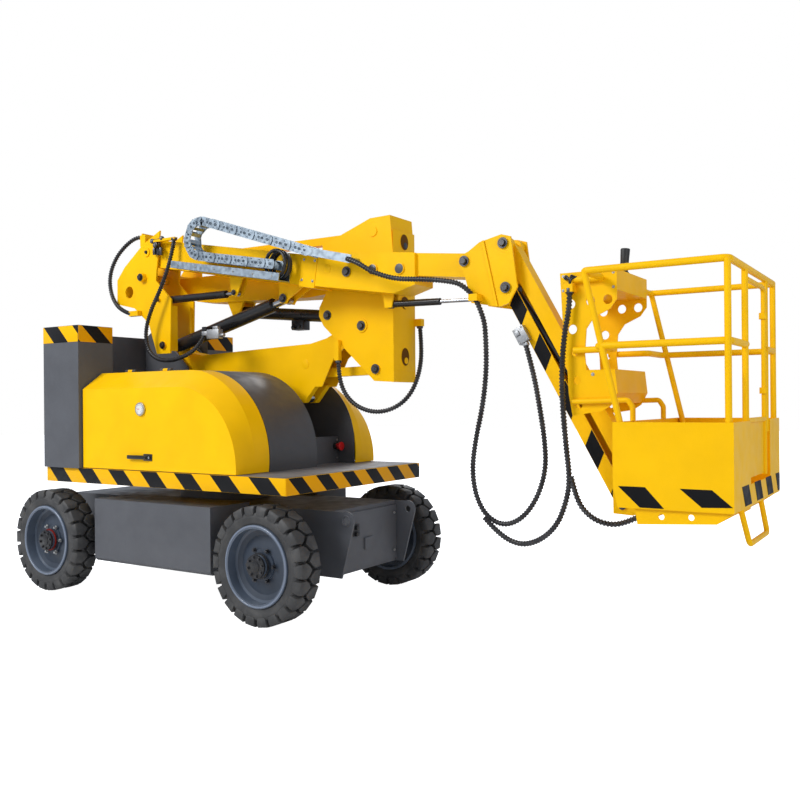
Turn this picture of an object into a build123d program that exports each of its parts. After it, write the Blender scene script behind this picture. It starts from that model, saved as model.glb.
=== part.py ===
from build123d import *
from math import atan2, cos, degrees, hypot, pi, radians, sin, tan
import os

# Small articulated boom lift. Millimetres, Z up, X towards the basket, stored stowed.
# All outlines are drawn with X = 0 at the slew axis, and each file is written with X moved by SHIFT,
# which brings the middle of the footprint to the origin.

os.makedirs("parts", exist_ok=True)

# Running clearances
PIN_GAP = 0.5
SIDE_GAP = 5

# Wheels
TYRE_R = 330
TYRE_WIDTH = 165
RIM_R = 228
AXLE_X = 936
TYRE_OUTER_Y = 691
HUB_R = 62
STUB_R = 32
KINGPIN_Y = 470

# Chassis
CHASSIS_HALF_Y = 310
CHASSIS_END = 1225
CHASSIS_LOW = 225
CHASSIS_TOP = 600
WALL = 12
EAR_X = 1262
EAR_Z = 552
EAR_R = 52
EAR_HOLE_R = 20
SIDE_BOX_HALF_X = 520
SIDE_BOX_Y = 620
SIDE_BOX_TOP = 619
RING_R = 290
RING_RISE = 64
RING_SPLIT = CHASSIS_TOP + RING_RISE

# Turntable
PLATE_REAR = -977
PLATE_FRONT = 1121
PLATE_HALF_Y = 643
PLATE_LOW = 716
PLATE_TOP = 810
SKIRT = 8

# Counterweight
CW_REAR = -977
CW_FRONT = -612
CW_WALL = 32
CW_INNER_Y = 410
CW_OUTER_Y = 664
CW_TOP = 1727
CW_WALL_TOP = 1700

# Hoods
HOOD_REAR = -602
HOOD_FRONT = 748
HOOD_SIDE_TOP = 1315
HOOD_RIDGE_TOP = 1420
HOOD_SIDE_Y = 640
HOOD_RIDGE_Y = 500
HOOD_NEAR_INNER = 380
HOOD_FAR_INNER = 440
HOOD_STRAIGHT = 240
HOOD_SHEET = 8
COVER_FAR_Y = 45
COVER_GAP = 6

# Riser stack, which stands beside the boom
RISER_Y = 245
KNUCKLE_HALF = 118
KNUCKLE_PLATE = 12
BRACKET_HALF = 130
BRACKET_PLATE = 15
ARM_HALF = 75
ARM_SHEET = 8
LINK_HALF = 30
MAIN_PIN_R = 30
LINK_PIN_R = 18

# Pivots in X, Z
LOW_PIVOT = (-850, 1650)
KNEE_LOW = (1048, 1689)
LOW_LINK_STEP = (106, -270)
KNEE_HIGH = (1120, 2090)
HIGH_PIVOT = (-676, 2100)
HIGH_LINK_STEP = (20, 170)
BOOM_PIVOT = (-640, 2274)
HEAD_PIVOT = (1920, 1973)
JIB_LINK_PIN = (2156, 2047)
JIB_PIN = (2170, 1812)
BASKET_PIN = (2800, 700)

# Cylinder ends in X, Z and their places in Y
RISER_CYL_BASE = (-450, 930)
RISER_CYL_EYE = (515, 1255)
UPPER_CYL_BASE = (-87, 1852)
UPPER_CYL_EYE = (776, 1770)
LIFT_BASE = (-477, 1620)
LIFT_EYE = (544, 1878)
LIFT_Y = 20
MASTER_BASE = (-520, 1935)
MASTER_EYE = (178, 1935)
MASTER_Y = -58
SLAVE_BASE = (1360, 1788)
SLAVE_EYE = (1985, 1775)

# Boom
BOOM_SLOPE = 9.8
BOOM_HALF_Y = 80
BOOM_HALF_Z = 93.5
BOOM_SHEET = 8
BOOM_TAIL = 60
COLLAR_START = 1410
COLLAR_END = 1532
COLLAR_EXTRA = 10
FLY_GAP = 6
FLY_SHEET = 6
FLY_TAIL = 120
KNUCKLE_BOOM_HALF = 105
WEDGE_HALF = 95
FLY_ARM_HALF = 75
HEAD_HALF = 100
HEAD_PLATE = 12
JIB_HALF = 52
JIB_LOW = -45
JIB_HIGH = 30
JIB_SHEET = 8
JIB_LINK_HALF = 42
JIB_LINK_LOW = -44
JIB_LINK_HIGH = 34

# Basket
FLOOR_Z = 748
PANEL_TOP = 1118
MID_RAIL_Z = 1457
TOP_RAIL_Z = 1800
BASKET_REAR = 2900
BASKET_FRONT = 3420
RAIL_REAR = 2754
BASKET_HALF_Y = 500
TUBE_R = 16
PANEL = 4
GATE_NEAR_Y = -180
GATE_FAR_Y = 262

REAR_END = -(EAR_X + EAR_R)
FRONT_END = BASKET_FRONT
SHIFT = -(REAR_END + FRONT_END) / 2


def box(x, y, z):
    """A box from three pairs of limits."""
    middle = [(a + b) / 2 for a, b in (x, y, z)]
    return Pos(*middle) * Box(x[1] - x[0], y[1] - y[0], z[1] - z[0])


def slab(points, y):
    """An outline in X and Z, thick from y[0] to y[1]."""
    line = Polyline(*[(px, y[0], pz) for px, pz in points], close=True)
    return extrude(make_face(line), amount=y[1] - y[0], dir=(0, 1, 0))


def drum(centre, radius, y):
    """A cylinder across the machine, centred on an X, Z point."""
    return Pos(centre[0], (y[0] + y[1]) / 2, centre[1]) * Rot(90, 0, 0) * Cylinder(radius, y[1] - y[0])


def post(centre, radius, z):
    """An upright cylinder at an X, Y point."""
    return Pos(centre[0], centre[1], (z[0] + z[1]) / 2) * Cylinder(radius, z[1] - z[0])


def bar(start, end, radius):
    """A round bar between two points."""
    run = Vector(*end) - Vector(*start)
    return Solid.make_cylinder(radius, run.length, Plane(origin=start, z_dir=run))


def pipe(points, radius, bend):
    """A round tube along straight runs with equal bends."""
    path = FilletPolyline(*points, radius=bend)
    profile = Plane(origin=path @ 0, z_dir=path % 0) * Circle(radius)
    return sweep(profile, path)


def mirrored(shape):
    return mirror(shape, about=Plane.XZ)


def around(centre, half):
    return (centre - half, centre + half)


def plus(point, step):
    return (point[0] + step[0], point[1] + step[1])


def strip(start, end, low, high, y, past_start=0, past_end=0):
    """A flat bar between two X, Z points, from low to high across its own line."""
    length = hypot(end[0] - start[0], end[1] - start[1])
    angle = degrees(atan2(end[1] - start[1], end[0] - start[0]))
    block = box((-past_start, length + past_end), y, (low, high))
    return Pos(start[0], 0, start[1]) * Rot(0, -angle, 0) * block


def save(name, *shapes):
    solids = [solid for shape in shapes for solid in shape.solids()]
    export_step(Pos(SHIFT, 0, 0) * Compound(solids), f"parts/{name}.step")


def between(plates, shape):
    """The lengths of pins and webs that are left between plates, ready to weld to them."""
    for plate in plates:
        shape -= plate
    return shape


# Wheels


def tyre():
    """Outer shape of the tyre out to the tips of its lugs, about the Y axis."""
    half = TYRE_WIDTH / 2
    points = [
        (RIM_R, -half + 12),
        (RIM_R + 45, -half),
        (TYRE_R - 28, -half),
        (TYRE_R, -half + 22),
        (TYRE_R, half - 22),
        (TYRE_R - 28, half),
        (RIM_R + 45, half),
        (RIM_R, half - 12),
    ]
    return turned(points)


def turned(points):
    """A ring from an outline of radius and Y."""
    face = make_face(Polyline(*[(r, y, 0) for r, y in points], close=True))
    return revolve(face, axis=Axis.Y)


def rim():
    """Rim, dished disc and hub, with the outside towards -Y and a blind bore for the stub."""
    half = TYRE_WIDTH / 2
    ring = turned([
        (RIM_R - 22, -half + 2),
        (RIM_R - 1, -half + 2),
        (RIM_R - 1, half - 2),
        (RIM_R - 16, half - 2),
        (RIM_R - 16, 12),
        (RIM_R - 60, 4),
        (HUB_R - 10, -14),
        (HUB_R - 10, -30),
        (RIM_R - 64, -10),
        (RIM_R - 22, -24),
    ])
    hub = drum((0, 0), HUB_R, (-half + 16, 34)) + drum((0, 0), HUB_R + 26, (-34, -8))
    bore = drum((0, 0), STUB_R + PIN_GAP, (-26, 35))
    return ring + hub - bore


WHEEL_Y = TYRE_OUTER_Y - TYRE_WIDTH / 2
for end, x in (("rear", -AXLE_X), ("front", AXLE_X)):
    for side, sign in (("near", -1), ("far", 1)):
        flip = Rot(0, 0, 0) if sign < 0 else Rot(0, 0, 180)
        place = Pos(x, sign * WHEEL_Y, TYRE_R)
        save(f"tyre_{end}_{side}", place * tyre())
        save(f"rim_{end}_{side}", place * flip * rim())


# Chassis


def chassis_frame():
    ear_side = [
        (CHASSIS_END - 60, CHASSIS_LOW),
        (CHASSIS_END, CHASSIS_LOW),
        (EAR_X + EAR_R - 3, EAR_Z - 20),
        (EAR_X, CHASSIS_TOP),
        (CHASSIS_END - 60, CHASSIS_TOP),
    ]
    plate_y = (CHASSIS_HALF_Y - WALL, CHASSIS_HALF_Y)
    ear = slab(ear_side, plate_y) + drum((EAR_X, EAR_Z), EAR_R, plate_y)
    ear -= drum((EAR_X, EAR_Z), EAR_HOLE_R, plate_y)
    inner = CHASSIS_END - 60
    under = (CHASSIS_LOW, CHASSIS_TOP - WALL)
    side = box((-inner, inner), plate_y, under) + ear + mirror(ear, about=Plane.YZ)
    end = box((inner - WALL, inner), around(0, CHASSIS_HALF_Y - WALL), under)
    top = box((-inner, inner), around(0, CHASSIS_HALF_Y), (CHASSIS_TOP - WALL, CHASSIS_TOP))
    top += post((0, 0), RING_R, (CHASSIS_TOP - WALL, RING_SPLIT))
    return [side, mirrored(side), top, end, mirror(end, about=Plane.YZ)]


def side_boxes():
    near = box(around(0, SIDE_BOX_HALF_X), (-SIDE_BOX_Y, -CHASSIS_HALF_Y), (CHASSIS_LOW, SIDE_BOX_TOP))
    near = chamfer(near.edges().filter_by(Axis.X).group_by(Axis.Z)[0].sort_by(Axis.Y)[0], 18)
    return [near, mirrored(near)]


def end_covers():
    inner = CHASSIS_END - 60
    half = CHASSIS_HALF_Y - WALL - 6
    cover = box((inner, inner + 14), around(0, half), (CHASSIS_LOW + 20, CHASSIS_TOP - 25))
    cover += box((inner + 14, inner + 24), around(0, 40), (CHASSIS_LOW + 120, CHASSIS_LOW + 190))
    return [cover, mirror(cover, about=Plane.YZ)]


def rear_axle():
    half = box(around(-AXLE_X, 60), (CHASSIS_HALF_Y, KINGPIN_Y + 20), around(TYRE_R, 60))
    half = chamfer(half.edges().filter_by(Axis.Y), 20)
    half += drum((-AXLE_X, TYRE_R), STUB_R, (KINGPIN_Y + 20, WHEEL_Y + 22))
    return [half, mirrored(half)]


YOKE_HALF_Z = 82
YOKE_LIP = 22
KINGPIN_R = 18
KNUCKLE_R = 34


def front_yokes():
    low, high = TYRE_R - YOKE_HALF_Z, TYRE_R + YOKE_HALF_Z
    arm = box(around(AXLE_X, 45), (CHASSIS_HALF_Y, KINGPIN_Y - 45), (low, high))
    lips = box(around(AXLE_X, 34), (KINGPIN_Y - 46, KINGPIN_Y), (low, low + YOKE_LIP))
    lips += post((AXLE_X, KINGPIN_Y), KNUCKLE_R, (low, low + YOKE_LIP))
    lips += Pos(0, 0, 2 * YOKE_HALF_Z - YOKE_LIP) * lips
    pin = post((AXLE_X, KINGPIN_Y), KINGPIN_R, (low, high))
    near = arm + lips + pin
    return [near, mirrored(near)]


def steer_knuckle(sign):
    low, high = TYRE_R - YOKE_HALF_Z + YOKE_LIP, TYRE_R + YOKE_HALF_Z - YOKE_LIP
    body = post((AXLE_X, KINGPIN_Y), KNUCKLE_R, (low + 1, high - 1))
    body += drum((AXLE_X, TYRE_R), STUB_R, (KINGPIN_Y, WHEEL_Y + 22))
    body -= post((AXLE_X, KINGPIN_Y), KINGPIN_R + PIN_GAP, (low, high))
    return mirrored(body) if sign < 0 else body


save("chassis_frame", *chassis_frame())
save("side_boxes", *side_boxes())
save("end_covers", *end_covers())
save("axles", *rear_axle(), *front_yokes())
save("steer_knuckle_near", steer_knuckle(-1))
save("steer_knuckle_far", steer_knuckle(1))


# Turntable

RING_GAP = 0.6


def turret_plate():
    under = (PLATE_LOW, PLATE_TOP - SKIRT)
    plate = box((PLATE_REAR, PLATE_FRONT), around(0, PLATE_HALF_Y), (PLATE_TOP - SKIRT, PLATE_TOP))
    side = box((PLATE_REAR, PLATE_FRONT), (PLATE_HALF_Y - SKIRT, PLATE_HALF_Y), under)
    inside = around(0, PLATE_HALF_Y - SKIRT)
    ends = [
        box((PLATE_REAR, PLATE_REAR + SKIRT), inside, under),
        box((PLATE_FRONT - SKIRT, PLATE_FRONT), inside, under),
    ]
    ring = post((0, 0), RING_R - 20, (RING_SPLIT + RING_GAP, PLATE_TOP - SKIRT))
    return [plate, side, mirrored(side), *ends, ring]


def counterweight():
    wing = box((CW_REAR, CW_FRONT), (CW_INNER_Y, CW_OUTER_Y), (PLATE_TOP, CW_TOP))
    back = box((CW_REAR, CW_REAR + CW_WALL), around(0, CW_INNER_Y), (PLATE_TOP, CW_WALL_TOP))
    return [wing, mirrored(wing), back]


def hood_outline(top, inset=0, low=PLATE_TOP + SIDE_GAP):
    """Side outline of a hood: straight top, then one arc down to the front foot."""
    front = HOOD_FRONT - inset
    high = top - inset
    flat = (HOOD_REAR + inset, HOOD_STRAIGHT)
    middle = (HOOD_STRAIGHT + (front - HOOD_STRAIGHT) * 0.72, low + (high - low) * 0.73)
    return flat, middle, front, high, low


def hood_face(top, y, inset=0, low=PLATE_TOP + SIDE_GAP):
    flat, middle, front, high, low = hood_outline(top, inset, low)
    edges = [
        Line((flat[0], y, low), (flat[0], y, high)),
        Line((flat[0], y, high), (flat[1], y, high)),
        ThreePointArc((flat[1], y, high), (middle[0], y, middle[1]), (front, y, low)),
        Line((front, y, low), (flat[0], y, low)),
    ]
    return make_face(Wire(edges))


def hood_body(inner_y, inset=0, low=PLATE_TOP + SIDE_GAP):
    """Chamfered side and ridge of a hood on the -Y side, closed at inner_y."""
    outside = hood_face(HOOD_SIDE_TOP, -HOOD_SIDE_Y + inset, inset, low)
    ridge = hood_face(HOOD_RIDGE_TOP, -HOOD_RIDGE_Y + inset / 2, inset, low)
    side = loft([outside, ridge], ruled=True)
    return side + extrude(ridge, amount=HOOD_RIDGE_Y - inset / 2 - inner_y, dir=(0, 1, 0))


HINGE_R = 11
HINGE_PIN_R = 5
HINGE_Z = HOOD_RIDGE_TOP + 13
HINGE_STARTS = (-520, -180)
LEAF_WIDTH = 26


def hinge_half(axis_y, edge_y, start, length, outward):
    """One half of a hood hinge: a round knuckle along X and its leaf, on the side of the edge."""
    knuckle = bar((start, axis_y, HINGE_Z), (start + length, axis_y, HINGE_Z), HINGE_R)
    leaf = sorted((edge_y, edge_y + outward * LEAF_WIDTH))
    return knuckle + box((start, start + length), leaf, (HOOD_RIDGE_TOP - 1, HOOD_RIDGE_TOP + 7))


def fixed_hinges(axis_y, edge_y, outward):
    """Outer knuckles with the pin, for both hinges of one hood."""
    halves = []
    for start in HINGE_STARTS:
        half = hinge_half(axis_y, edge_y, start, 30, outward)
        half += hinge_half(axis_y, edge_y, start + 72, 30, outward)
        halves.append(half + bar((start, axis_y, HINGE_Z), (start + 100, axis_y, HINGE_Z), HINGE_PIN_R))
    return halves[0] + halves[1]


def hood(inner_y):
    """Hood of the -Y side with the middle knuckles of its hinges."""
    body = hood_body(inner_y) - hood_body(inner_y - 1, HOOD_SHEET, PLATE_TOP)
    axis_y = -inner_y + COVER_GAP / 2
    for start in HINGE_STARTS:
        body += hinge_half(axis_y, -inner_y, start + 31, 40, -1)
        body -= bar((start + 30, axis_y, HINGE_Z), (start + 72, axis_y, HINGE_Z), HINGE_PIN_R + PIN_GAP)
    return body


def hood_cover():
    near_y = -HOOD_NEAR_INNER + COVER_GAP
    low = PLATE_TOP
    shell = extrude(hood_face(HOOD_RIDGE_TOP, near_y, 0, low), amount=COVER_FAR_Y - near_y, dir=(0, 1, 0))
    inner = hood_face(HOOD_RIDGE_TOP, near_y - 1, HOOD_SHEET, low - 1)
    shell -= extrude(inner, amount=COVER_FAR_Y - near_y + 1 - HOOD_SHEET, dir=(0, 1, 0))
    return shell + fixed_hinges(near_y - COVER_GAP / 2, near_y, 1)


STOP_PANEL_X = 600
STOP_PANEL_TOP = 990


def stop_panel():
    span = (COVER_FAR_Y, HOOD_FAR_INNER - COVER_GAP)
    panel = box((STOP_PANEL_X, STOP_PANEL_X + 8), span, (PLATE_TOP, STOP_PANEL_TOP))
    return panel + box((STOP_PANEL_X - 40, STOP_PANEL_X + 8), span, (STOP_PANEL_TOP - 8, STOP_PANEL_TOP))


def power_pack():
    block = box((-480, 380), (-HOOD_SIDE_Y + 60, -HOOD_NEAR_INNER - 30), (PLATE_TOP, HOOD_SIDE_TOP - 120))
    return [block, box((-480, 380), (HOOD_FAR_INNER + 30, HOOD_SIDE_Y - 60), (PLATE_TOP, HOOD_SIDE_TOP - 120))]


BRACKET_NEAR = (RISER_Y - BRACKET_HALF, RISER_Y - BRACKET_HALF + BRACKET_PLATE)
BRACKET_FAR = (RISER_Y + BRACKET_HALF - BRACKET_PLATE, RISER_Y + BRACKET_HALF)
BRACKET_INNER = around(RISER_Y, BRACKET_HALF - BRACKET_PLATE)
LOW_LINK_PIVOT = plus(LOW_PIVOT, LOW_LINK_STEP)
KNEE_LOW_LINK = plus(KNEE_LOW, LOW_LINK_STEP)
HIGH_LINK_PIVOT = plus(HIGH_PIVOT, HIGH_LINK_STEP)
KNEE_HIGH_LINK = plus(KNEE_HIGH, HIGH_LINK_STEP)
BRACKET_TOP_R = 90
RISER_CYL_PIN_R = 22


def arm_bracket():
    outline = [
        (LOW_PIVOT[0] - BRACKET_TOP_R, PLATE_TOP),
        (LOW_PIVOT[0] - BRACKET_TOP_R, LOW_PIVOT[1]),
        (LOW_PIVOT[0] - 30, LOW_PIVOT[1] + 90),
        (LOW_PIVOT[0] + 60, LOW_PIVOT[1] + 95),
        (-500, 1480),
        (-440, 1300),
        (-370, PLATE_TOP),
    ]
    near, far = [
        slab(outline, span) + drum(LOW_PIVOT, BRACKET_TOP_R, span)
        for span in (BRACKET_NEAR, BRACKET_FAR)
    ]
    edge = HOOD_FAR_INNER - COVER_GAP
    far += box((-560, -490), (BRACKET_FAR[1], edge), (1385, 1408))
    far += box((-560, -60), (edge - 34, edge), (1400, HOOD_RIDGE_TOP))
    far += fixed_hinges(edge + COVER_GAP / 2, edge, -1)
    back = box((-940, -925), BRACKET_INNER, (PLATE_TOP, LOW_PIVOT[1] - 120))
    pins = [
        drum(LOW_PIVOT, MAIN_PIN_R, BRACKET_INNER),
        drum(LOW_LINK_PIVOT, LINK_PIN_R, BRACKET_INNER),
        drum(RISER_CYL_BASE, RISER_CYL_PIN_R, BRACKET_INNER),
    ]
    return [near, far, back, *pins]


save("turret_plate", *turret_plate())
save("counterweight", *counterweight())
save("near_hood", hood(HOOD_NEAR_INNER))
save("far_hood", mirrored(hood(HOOD_FAR_INNER)))
save("hood_cover", hood_cover(), stop_panel())
save("power_pack", *power_pack())
save("arm_bracket", *arm_bracket())


# Riser stack


def outline_tube(points, centre_y, half, sheet):
    """A welded box section: side plates, with the sheet closed all round."""
    outer = slab(points, around(centre_y, half))
    face = make_face(Polyline(*[(x, 0, z) for x, z in points], close=True))
    inner = offset(face, amount=-sheet, kind=Kind.INTERSECTION)
    low = centre_y - half + sheet
    return outer - Pos(0, low, 0) * extrude(inner, amount=2 * (half - sheet), dir=(0, 1, 0))


BOSS_R = 58
BOSS_HALF = KNUCKLE_HALF - KNUCKLE_PLATE - SIDE_GAP
RISER_LUG_HALF = 33
EYE_HALF = 18


def lower_arm():
    low, knee = LOW_PIVOT, KNEE_LOW
    bottom = 1320
    outline = [
        (low[0] - 50, low[1] - 25),
        (low[0] - 20, low[1] + 55),
        (low[0] + 60, low[1] + 50),
        (-600, 1595),
        (-400, 1560),
        (600, 1600),
        (730, 1628),
        (knee[0] - 30, knee[1] + 55),
        (knee[0] + 50, knee[1] + 25),
        (knee[0] + 20, knee[1] - 55),
        (knee[0] - 60, knee[1] - 45),
        (840, 1535),
        (790, 1500),
        (690, bottom),
        (-400, bottom),
        (-620, 1380),
        (-720, 1490),
        (low[0] + 25, low[1] - 52),
    ]
    sides = slab(outline, around(RISER_Y, ARM_HALF))
    sides -= slab(outline, around(RISER_Y, ARM_HALF - ARM_SHEET))
    cap = [(-600, 1595), (-400, 1560), (600, 1600), (730, 1628), (knee[0] - 90, knee[1] + 38)]
    under = [(x, z - ARM_SHEET) for x, z in reversed(cap)]
    arm = sides + slab(cap + under, around(RISER_Y, ARM_HALF))
    lug = [(420, bottom + 10), (470, RISER_CYL_EYE[1] - 20), (500, RISER_CYL_EYE[1] - 42),
           (540, RISER_CYL_EYE[1] - 38), (640, bottom + 10)]
    gap = around(RISER_Y, RISER_LUG_HALF)
    arm += slab(lug, around(RISER_Y, ARM_HALF)) - slab(lug, gap)
    for pivot in (low, knee):
        arm += drum(pivot, BOSS_R, around(RISER_Y, BOSS_HALF))
        arm -= drum(pivot, MAIN_PIN_R + PIN_GAP, around(RISER_Y, BOSS_HALF))
    return arm


LINK_EYE_R = 38


def link(start, end, centre_y, half, height, pin_r):
    body = strip(start, end, -height / 2, height / 2, around(centre_y, half))
    for point in (start, end):
        body += drum(point, LINK_EYE_R, around(centre_y, half))
        body -= drum(point, pin_r + PIN_GAP, around(centre_y, half))
    return body


UPPER_EYE_GAP = 31


def mid_knuckle():
    outline = [
        (770, 1916), (711, 1822), (707, 1768), (744, 1703), (1140, 1346), (1286, 1337),
        (1286, 2126), (1266, 2347), (1118, 2344), (739, 2214),
    ]
    outer = around(RISER_Y, KNUCKLE_HALF)
    inner = around(RISER_Y, KNUCKLE_HALF - KNUCKLE_PLATE)
    body = slab(outline, outer) - slab(outline, inner)
    web = [(1286, 1337), (1286, 2126), (1266, 2347), (1250, 2347), (1270, 2126), (1270, 1337)]
    body += slab(web, outer)
    for z, high in ((1500, 120), (1800, 150), (2130, 110)):
        body -= box((1200, 1300), around(RISER_Y, 22), around(z, high / 2))
    for pivot, radius in ((KNEE_LOW, MAIN_PIN_R), (KNEE_HIGH, MAIN_PIN_R),
                          (KNEE_LOW_LINK, LINK_PIN_R), (KNEE_HIGH_LINK, LINK_PIN_R)):
        body += drum(pivot, radius, outer)
        body += drum(pivot, radius + 12, (outer[0] - 6, outer[0]))
        body += drum(pivot, radius + 12, (outer[1], outer[1] + 6))
    for y in ((outer[0], RISER_Y - UPPER_EYE_GAP), (RISER_Y + UPPER_EYE_GAP, outer[1])):
        body += drum(UPPER_CYL_EYE, LINK_PIN_R, y)
    body += box((1260, 1328), (RISER_Y + KNUCKLE_HALF, 402), (1690, 1735))
    return body + box((850, 886), (98, outer[0] + 1), (1480, 1606))


UPPER_LUG_HALF = 60


def upper_arm():
    rear, front = HIGH_PIVOT, KNEE_HIGH
    outline = [
        (rear[0] - 40, rear[1] - 30),
        (rear[0] - 30, rear[1] + 20),
        (front[0] + 20, front[1] + 20),
        (front[0] + 35, front[1] - 30),
        (950, 1930),
        (600, 1900),
        (-269, 1925),
        (-450, 1945),
    ]
    arm = outline_tube(outline, RISER_Y, ARM_HALF, ARM_SHEET)
    for pivot in (rear, front):
        arm += drum(pivot, 50, around(RISER_Y, BOSS_HALF))
        arm -= drum(pivot, MAIN_PIN_R + PIN_GAP, around(RISER_Y, BOSS_HALF))
    eye = UPPER_CYL_BASE
    lug = [(eye[0] - 80, 1930), (eye[0] - 28, eye[1] - 28), (eye[0] + 28, eye[1] - 28), (eye[0] + 80, 1926)]
    lugs = slab(lug, around(RISER_Y, UPPER_LUG_HALF)) - slab(lug, around(RISER_Y, UPPER_LUG_HALF - 14))
    return arm + lugs + drum(eye, LINK_PIN_R, around(RISER_Y, UPPER_LUG_HALF))


REAR_PLATE = [
    (-687, 2331), (-508, 2412), (-553, 2070), (-401, 1932), (-412, 1563), (-546, 1563),
    (-625, 1764), (-666, 1807), (-777, 1893), (-963, 1933), (-961, 2104), (-880, 2191),
]
REAR_HOLE = (-832, 2009)
REAR_HOLE_R = 42


def rear_knuckle():
    half, plate = KNUCKLE_BOOM_HALF, KNUCKLE_PLATE
    cheek = slab(REAR_PLATE, (-half, -half + plate)) - drum(REAR_HOLE, REAR_HOLE_R, (-half, -half + plate))
    near = cheek + box((-712, -660), (-half, -half + plate), (2320, 2400))
    brackets = [
        box((-712, -700), (-half + plate, 0), (2375, 2415)),
        box((-792, -700), (-142, -half), (1834, 1870)),
        box((-560, -324), (-140, -half - 6), (2328, 2344)) + box((-560, -520), (-half - 6, -half), (2328, 2344)),
    ]
    riser = [
        (HIGH_LINK_PIVOT[0] - 45, HIGH_LINK_PIVOT[1] + 40),
        (HIGH_LINK_PIVOT[0] + 45, HIGH_LINK_PIVOT[1] + 40),
        (HIGH_PIVOT[0] + 70, HIGH_PIVOT[1] - 60),
        (-880, 1950),
        (-880, 2130),
    ]
    back = RISER_Y + KNUCKLE_HALF
    plates = [near, mirrored(cheek)]
    for edge in (RISER_Y - KNUCKLE_HALF, back - plate):
        plates.append(slab(riser, (edge, edge + plate)))
    inner = box((-892, -878), (-half, back), (1960, 2110))
    inner += drum(HIGH_PIVOT, MAIN_PIN_R, (-half - 30, back + 6))
    inner += drum(HIGH_LINK_PIVOT, LINK_PIN_R, (RISER_Y - KNUCKLE_HALF, back + 6))
    inner += drum(BOOM_PIVOT, MAIN_PIN_R, (-half - 8, half + 8))
    inner += drum(MASTER_BASE, 14, (-half - 10, MASTER_Y + 38))
    inner += box((-575, -500), (MASTER_Y + 30, MASTER_Y + 38), (1905, 1965))
    inner += box((-575, -562), (-half, MASTER_Y + 38), (1905, 1965))
    inner += drum(LIFT_BASE, 24, (-half - 10, half))
    for y in ((-half, -38), (72, half)):
        inner += box((-430, -414), y, (1580, 1890))
    return [*plates, *brackets, between(plates + brackets, inner)]


save("lower_arm", lower_arm())
save("lower_link", link(LOW_LINK_PIVOT, KNEE_LOW_LINK, RISER_Y, LINK_HALF, 56, LINK_PIN_R))
save("mid_knuckle", mid_knuckle())
save("upper_arm", upper_arm())
save("upper_link", link(HIGH_LINK_PIVOT, KNEE_HIGH_LINK, RISER_Y, LINK_HALF, 50, LINK_PIN_R))
save("rear_knuckle", *rear_knuckle())


# Boom


def on_boom(shape):
    """Moves a shape drawn along X from the boom pivot onto the sloping boom."""
    return Pos(BOOM_PIVOT[0], 0, BOOM_PIVOT[1]) * Rot(0, BOOM_SLOPE, 0) * shape


def boom_local(point):
    """Along and above the boom's axis, from the boom pivot."""
    x, z = point[0] - BOOM_PIVOT[0], point[1] - BOOM_PIVOT[1]
    slope = radians(BOOM_SLOPE)
    return (x * cos(slope) - z * sin(slope), x * sin(slope) + z * cos(slope))


def lug_pair(eye, centre_y, gap_half, thick, reach, along, top):
    """Two plates under the boom, with a pin head on the outside of each."""
    u, v = boom_local(eye)
    shape = [(u - along[0], top), (u - reach, v), (u - reach * 0.6, v - reach * 0.8),
             (u + reach * 0.6, v - reach * 0.8), (u + reach, v), (u + along[1], top)]
    lugs = None
    for low in (centre_y - gap_half - thick, centre_y + gap_half):
        plate = slab(shape, (low, low + thick))
        lugs = plate if lugs is None else lugs + plate
    heads = drum((u, v), reach * 0.5, (centre_y - gap_half - thick - 6, centre_y - gap_half))
    heads += drum((u, v), reach * 0.5, (centre_y + gap_half, centre_y + gap_half + thick + 6))
    return lugs + heads


def outer_boom():
    half_y, half_z, sheet = BOOM_HALF_Y, BOOM_HALF_Z, BOOM_SHEET
    tube = box((-BOOM_TAIL, COLLAR_END), around(0, half_y), around(0, half_z))
    tube += box((COLLAR_START, COLLAR_END), around(0, half_y + COLLAR_EXTRA), around(0, half_z + COLLAR_EXTRA))
    tube -= box((BOOM_TAIL + 20, COLLAR_END + 1), around(0, half_y - sheet), around(0, half_z - sheet))
    pad_y, pad_z = half_y - sheet - FLY_GAP + PIN_GAP, half_z - sheet - FLY_GAP + PIN_GAP
    pads = (COLLAR_END - 70, COLLAR_END - 10)
    for sign in (-1, 1):
        tube += box(pads, sorted((sign * pad_y, sign * (half_y - sheet))), around(0, half_z * 0.5))
        tube += box(pads, around(0, half_y * 0.5), sorted((sign * pad_z, sign * (half_z - sheet))))
    tube += drum((0, 0), 48, around(0, KNUCKLE_BOOM_HALF - KNUCKLE_PLATE - SIDE_GAP))
    tube -= drum((0, 0), MAIN_PIN_R + PIN_GAP, around(0, KNUCKLE_BOOM_HALF))
    top = -half_z + 1
    tube += lug_pair(LIFT_EYE, LIFT_Y, 30, 12, 40, (50, 160), top)
    tube += lug_pair(MASTER_EYE, MASTER_Y, 14 + SIDE_GAP, 8, 30, (60, 60), top)
    return on_boom(tube)


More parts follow.
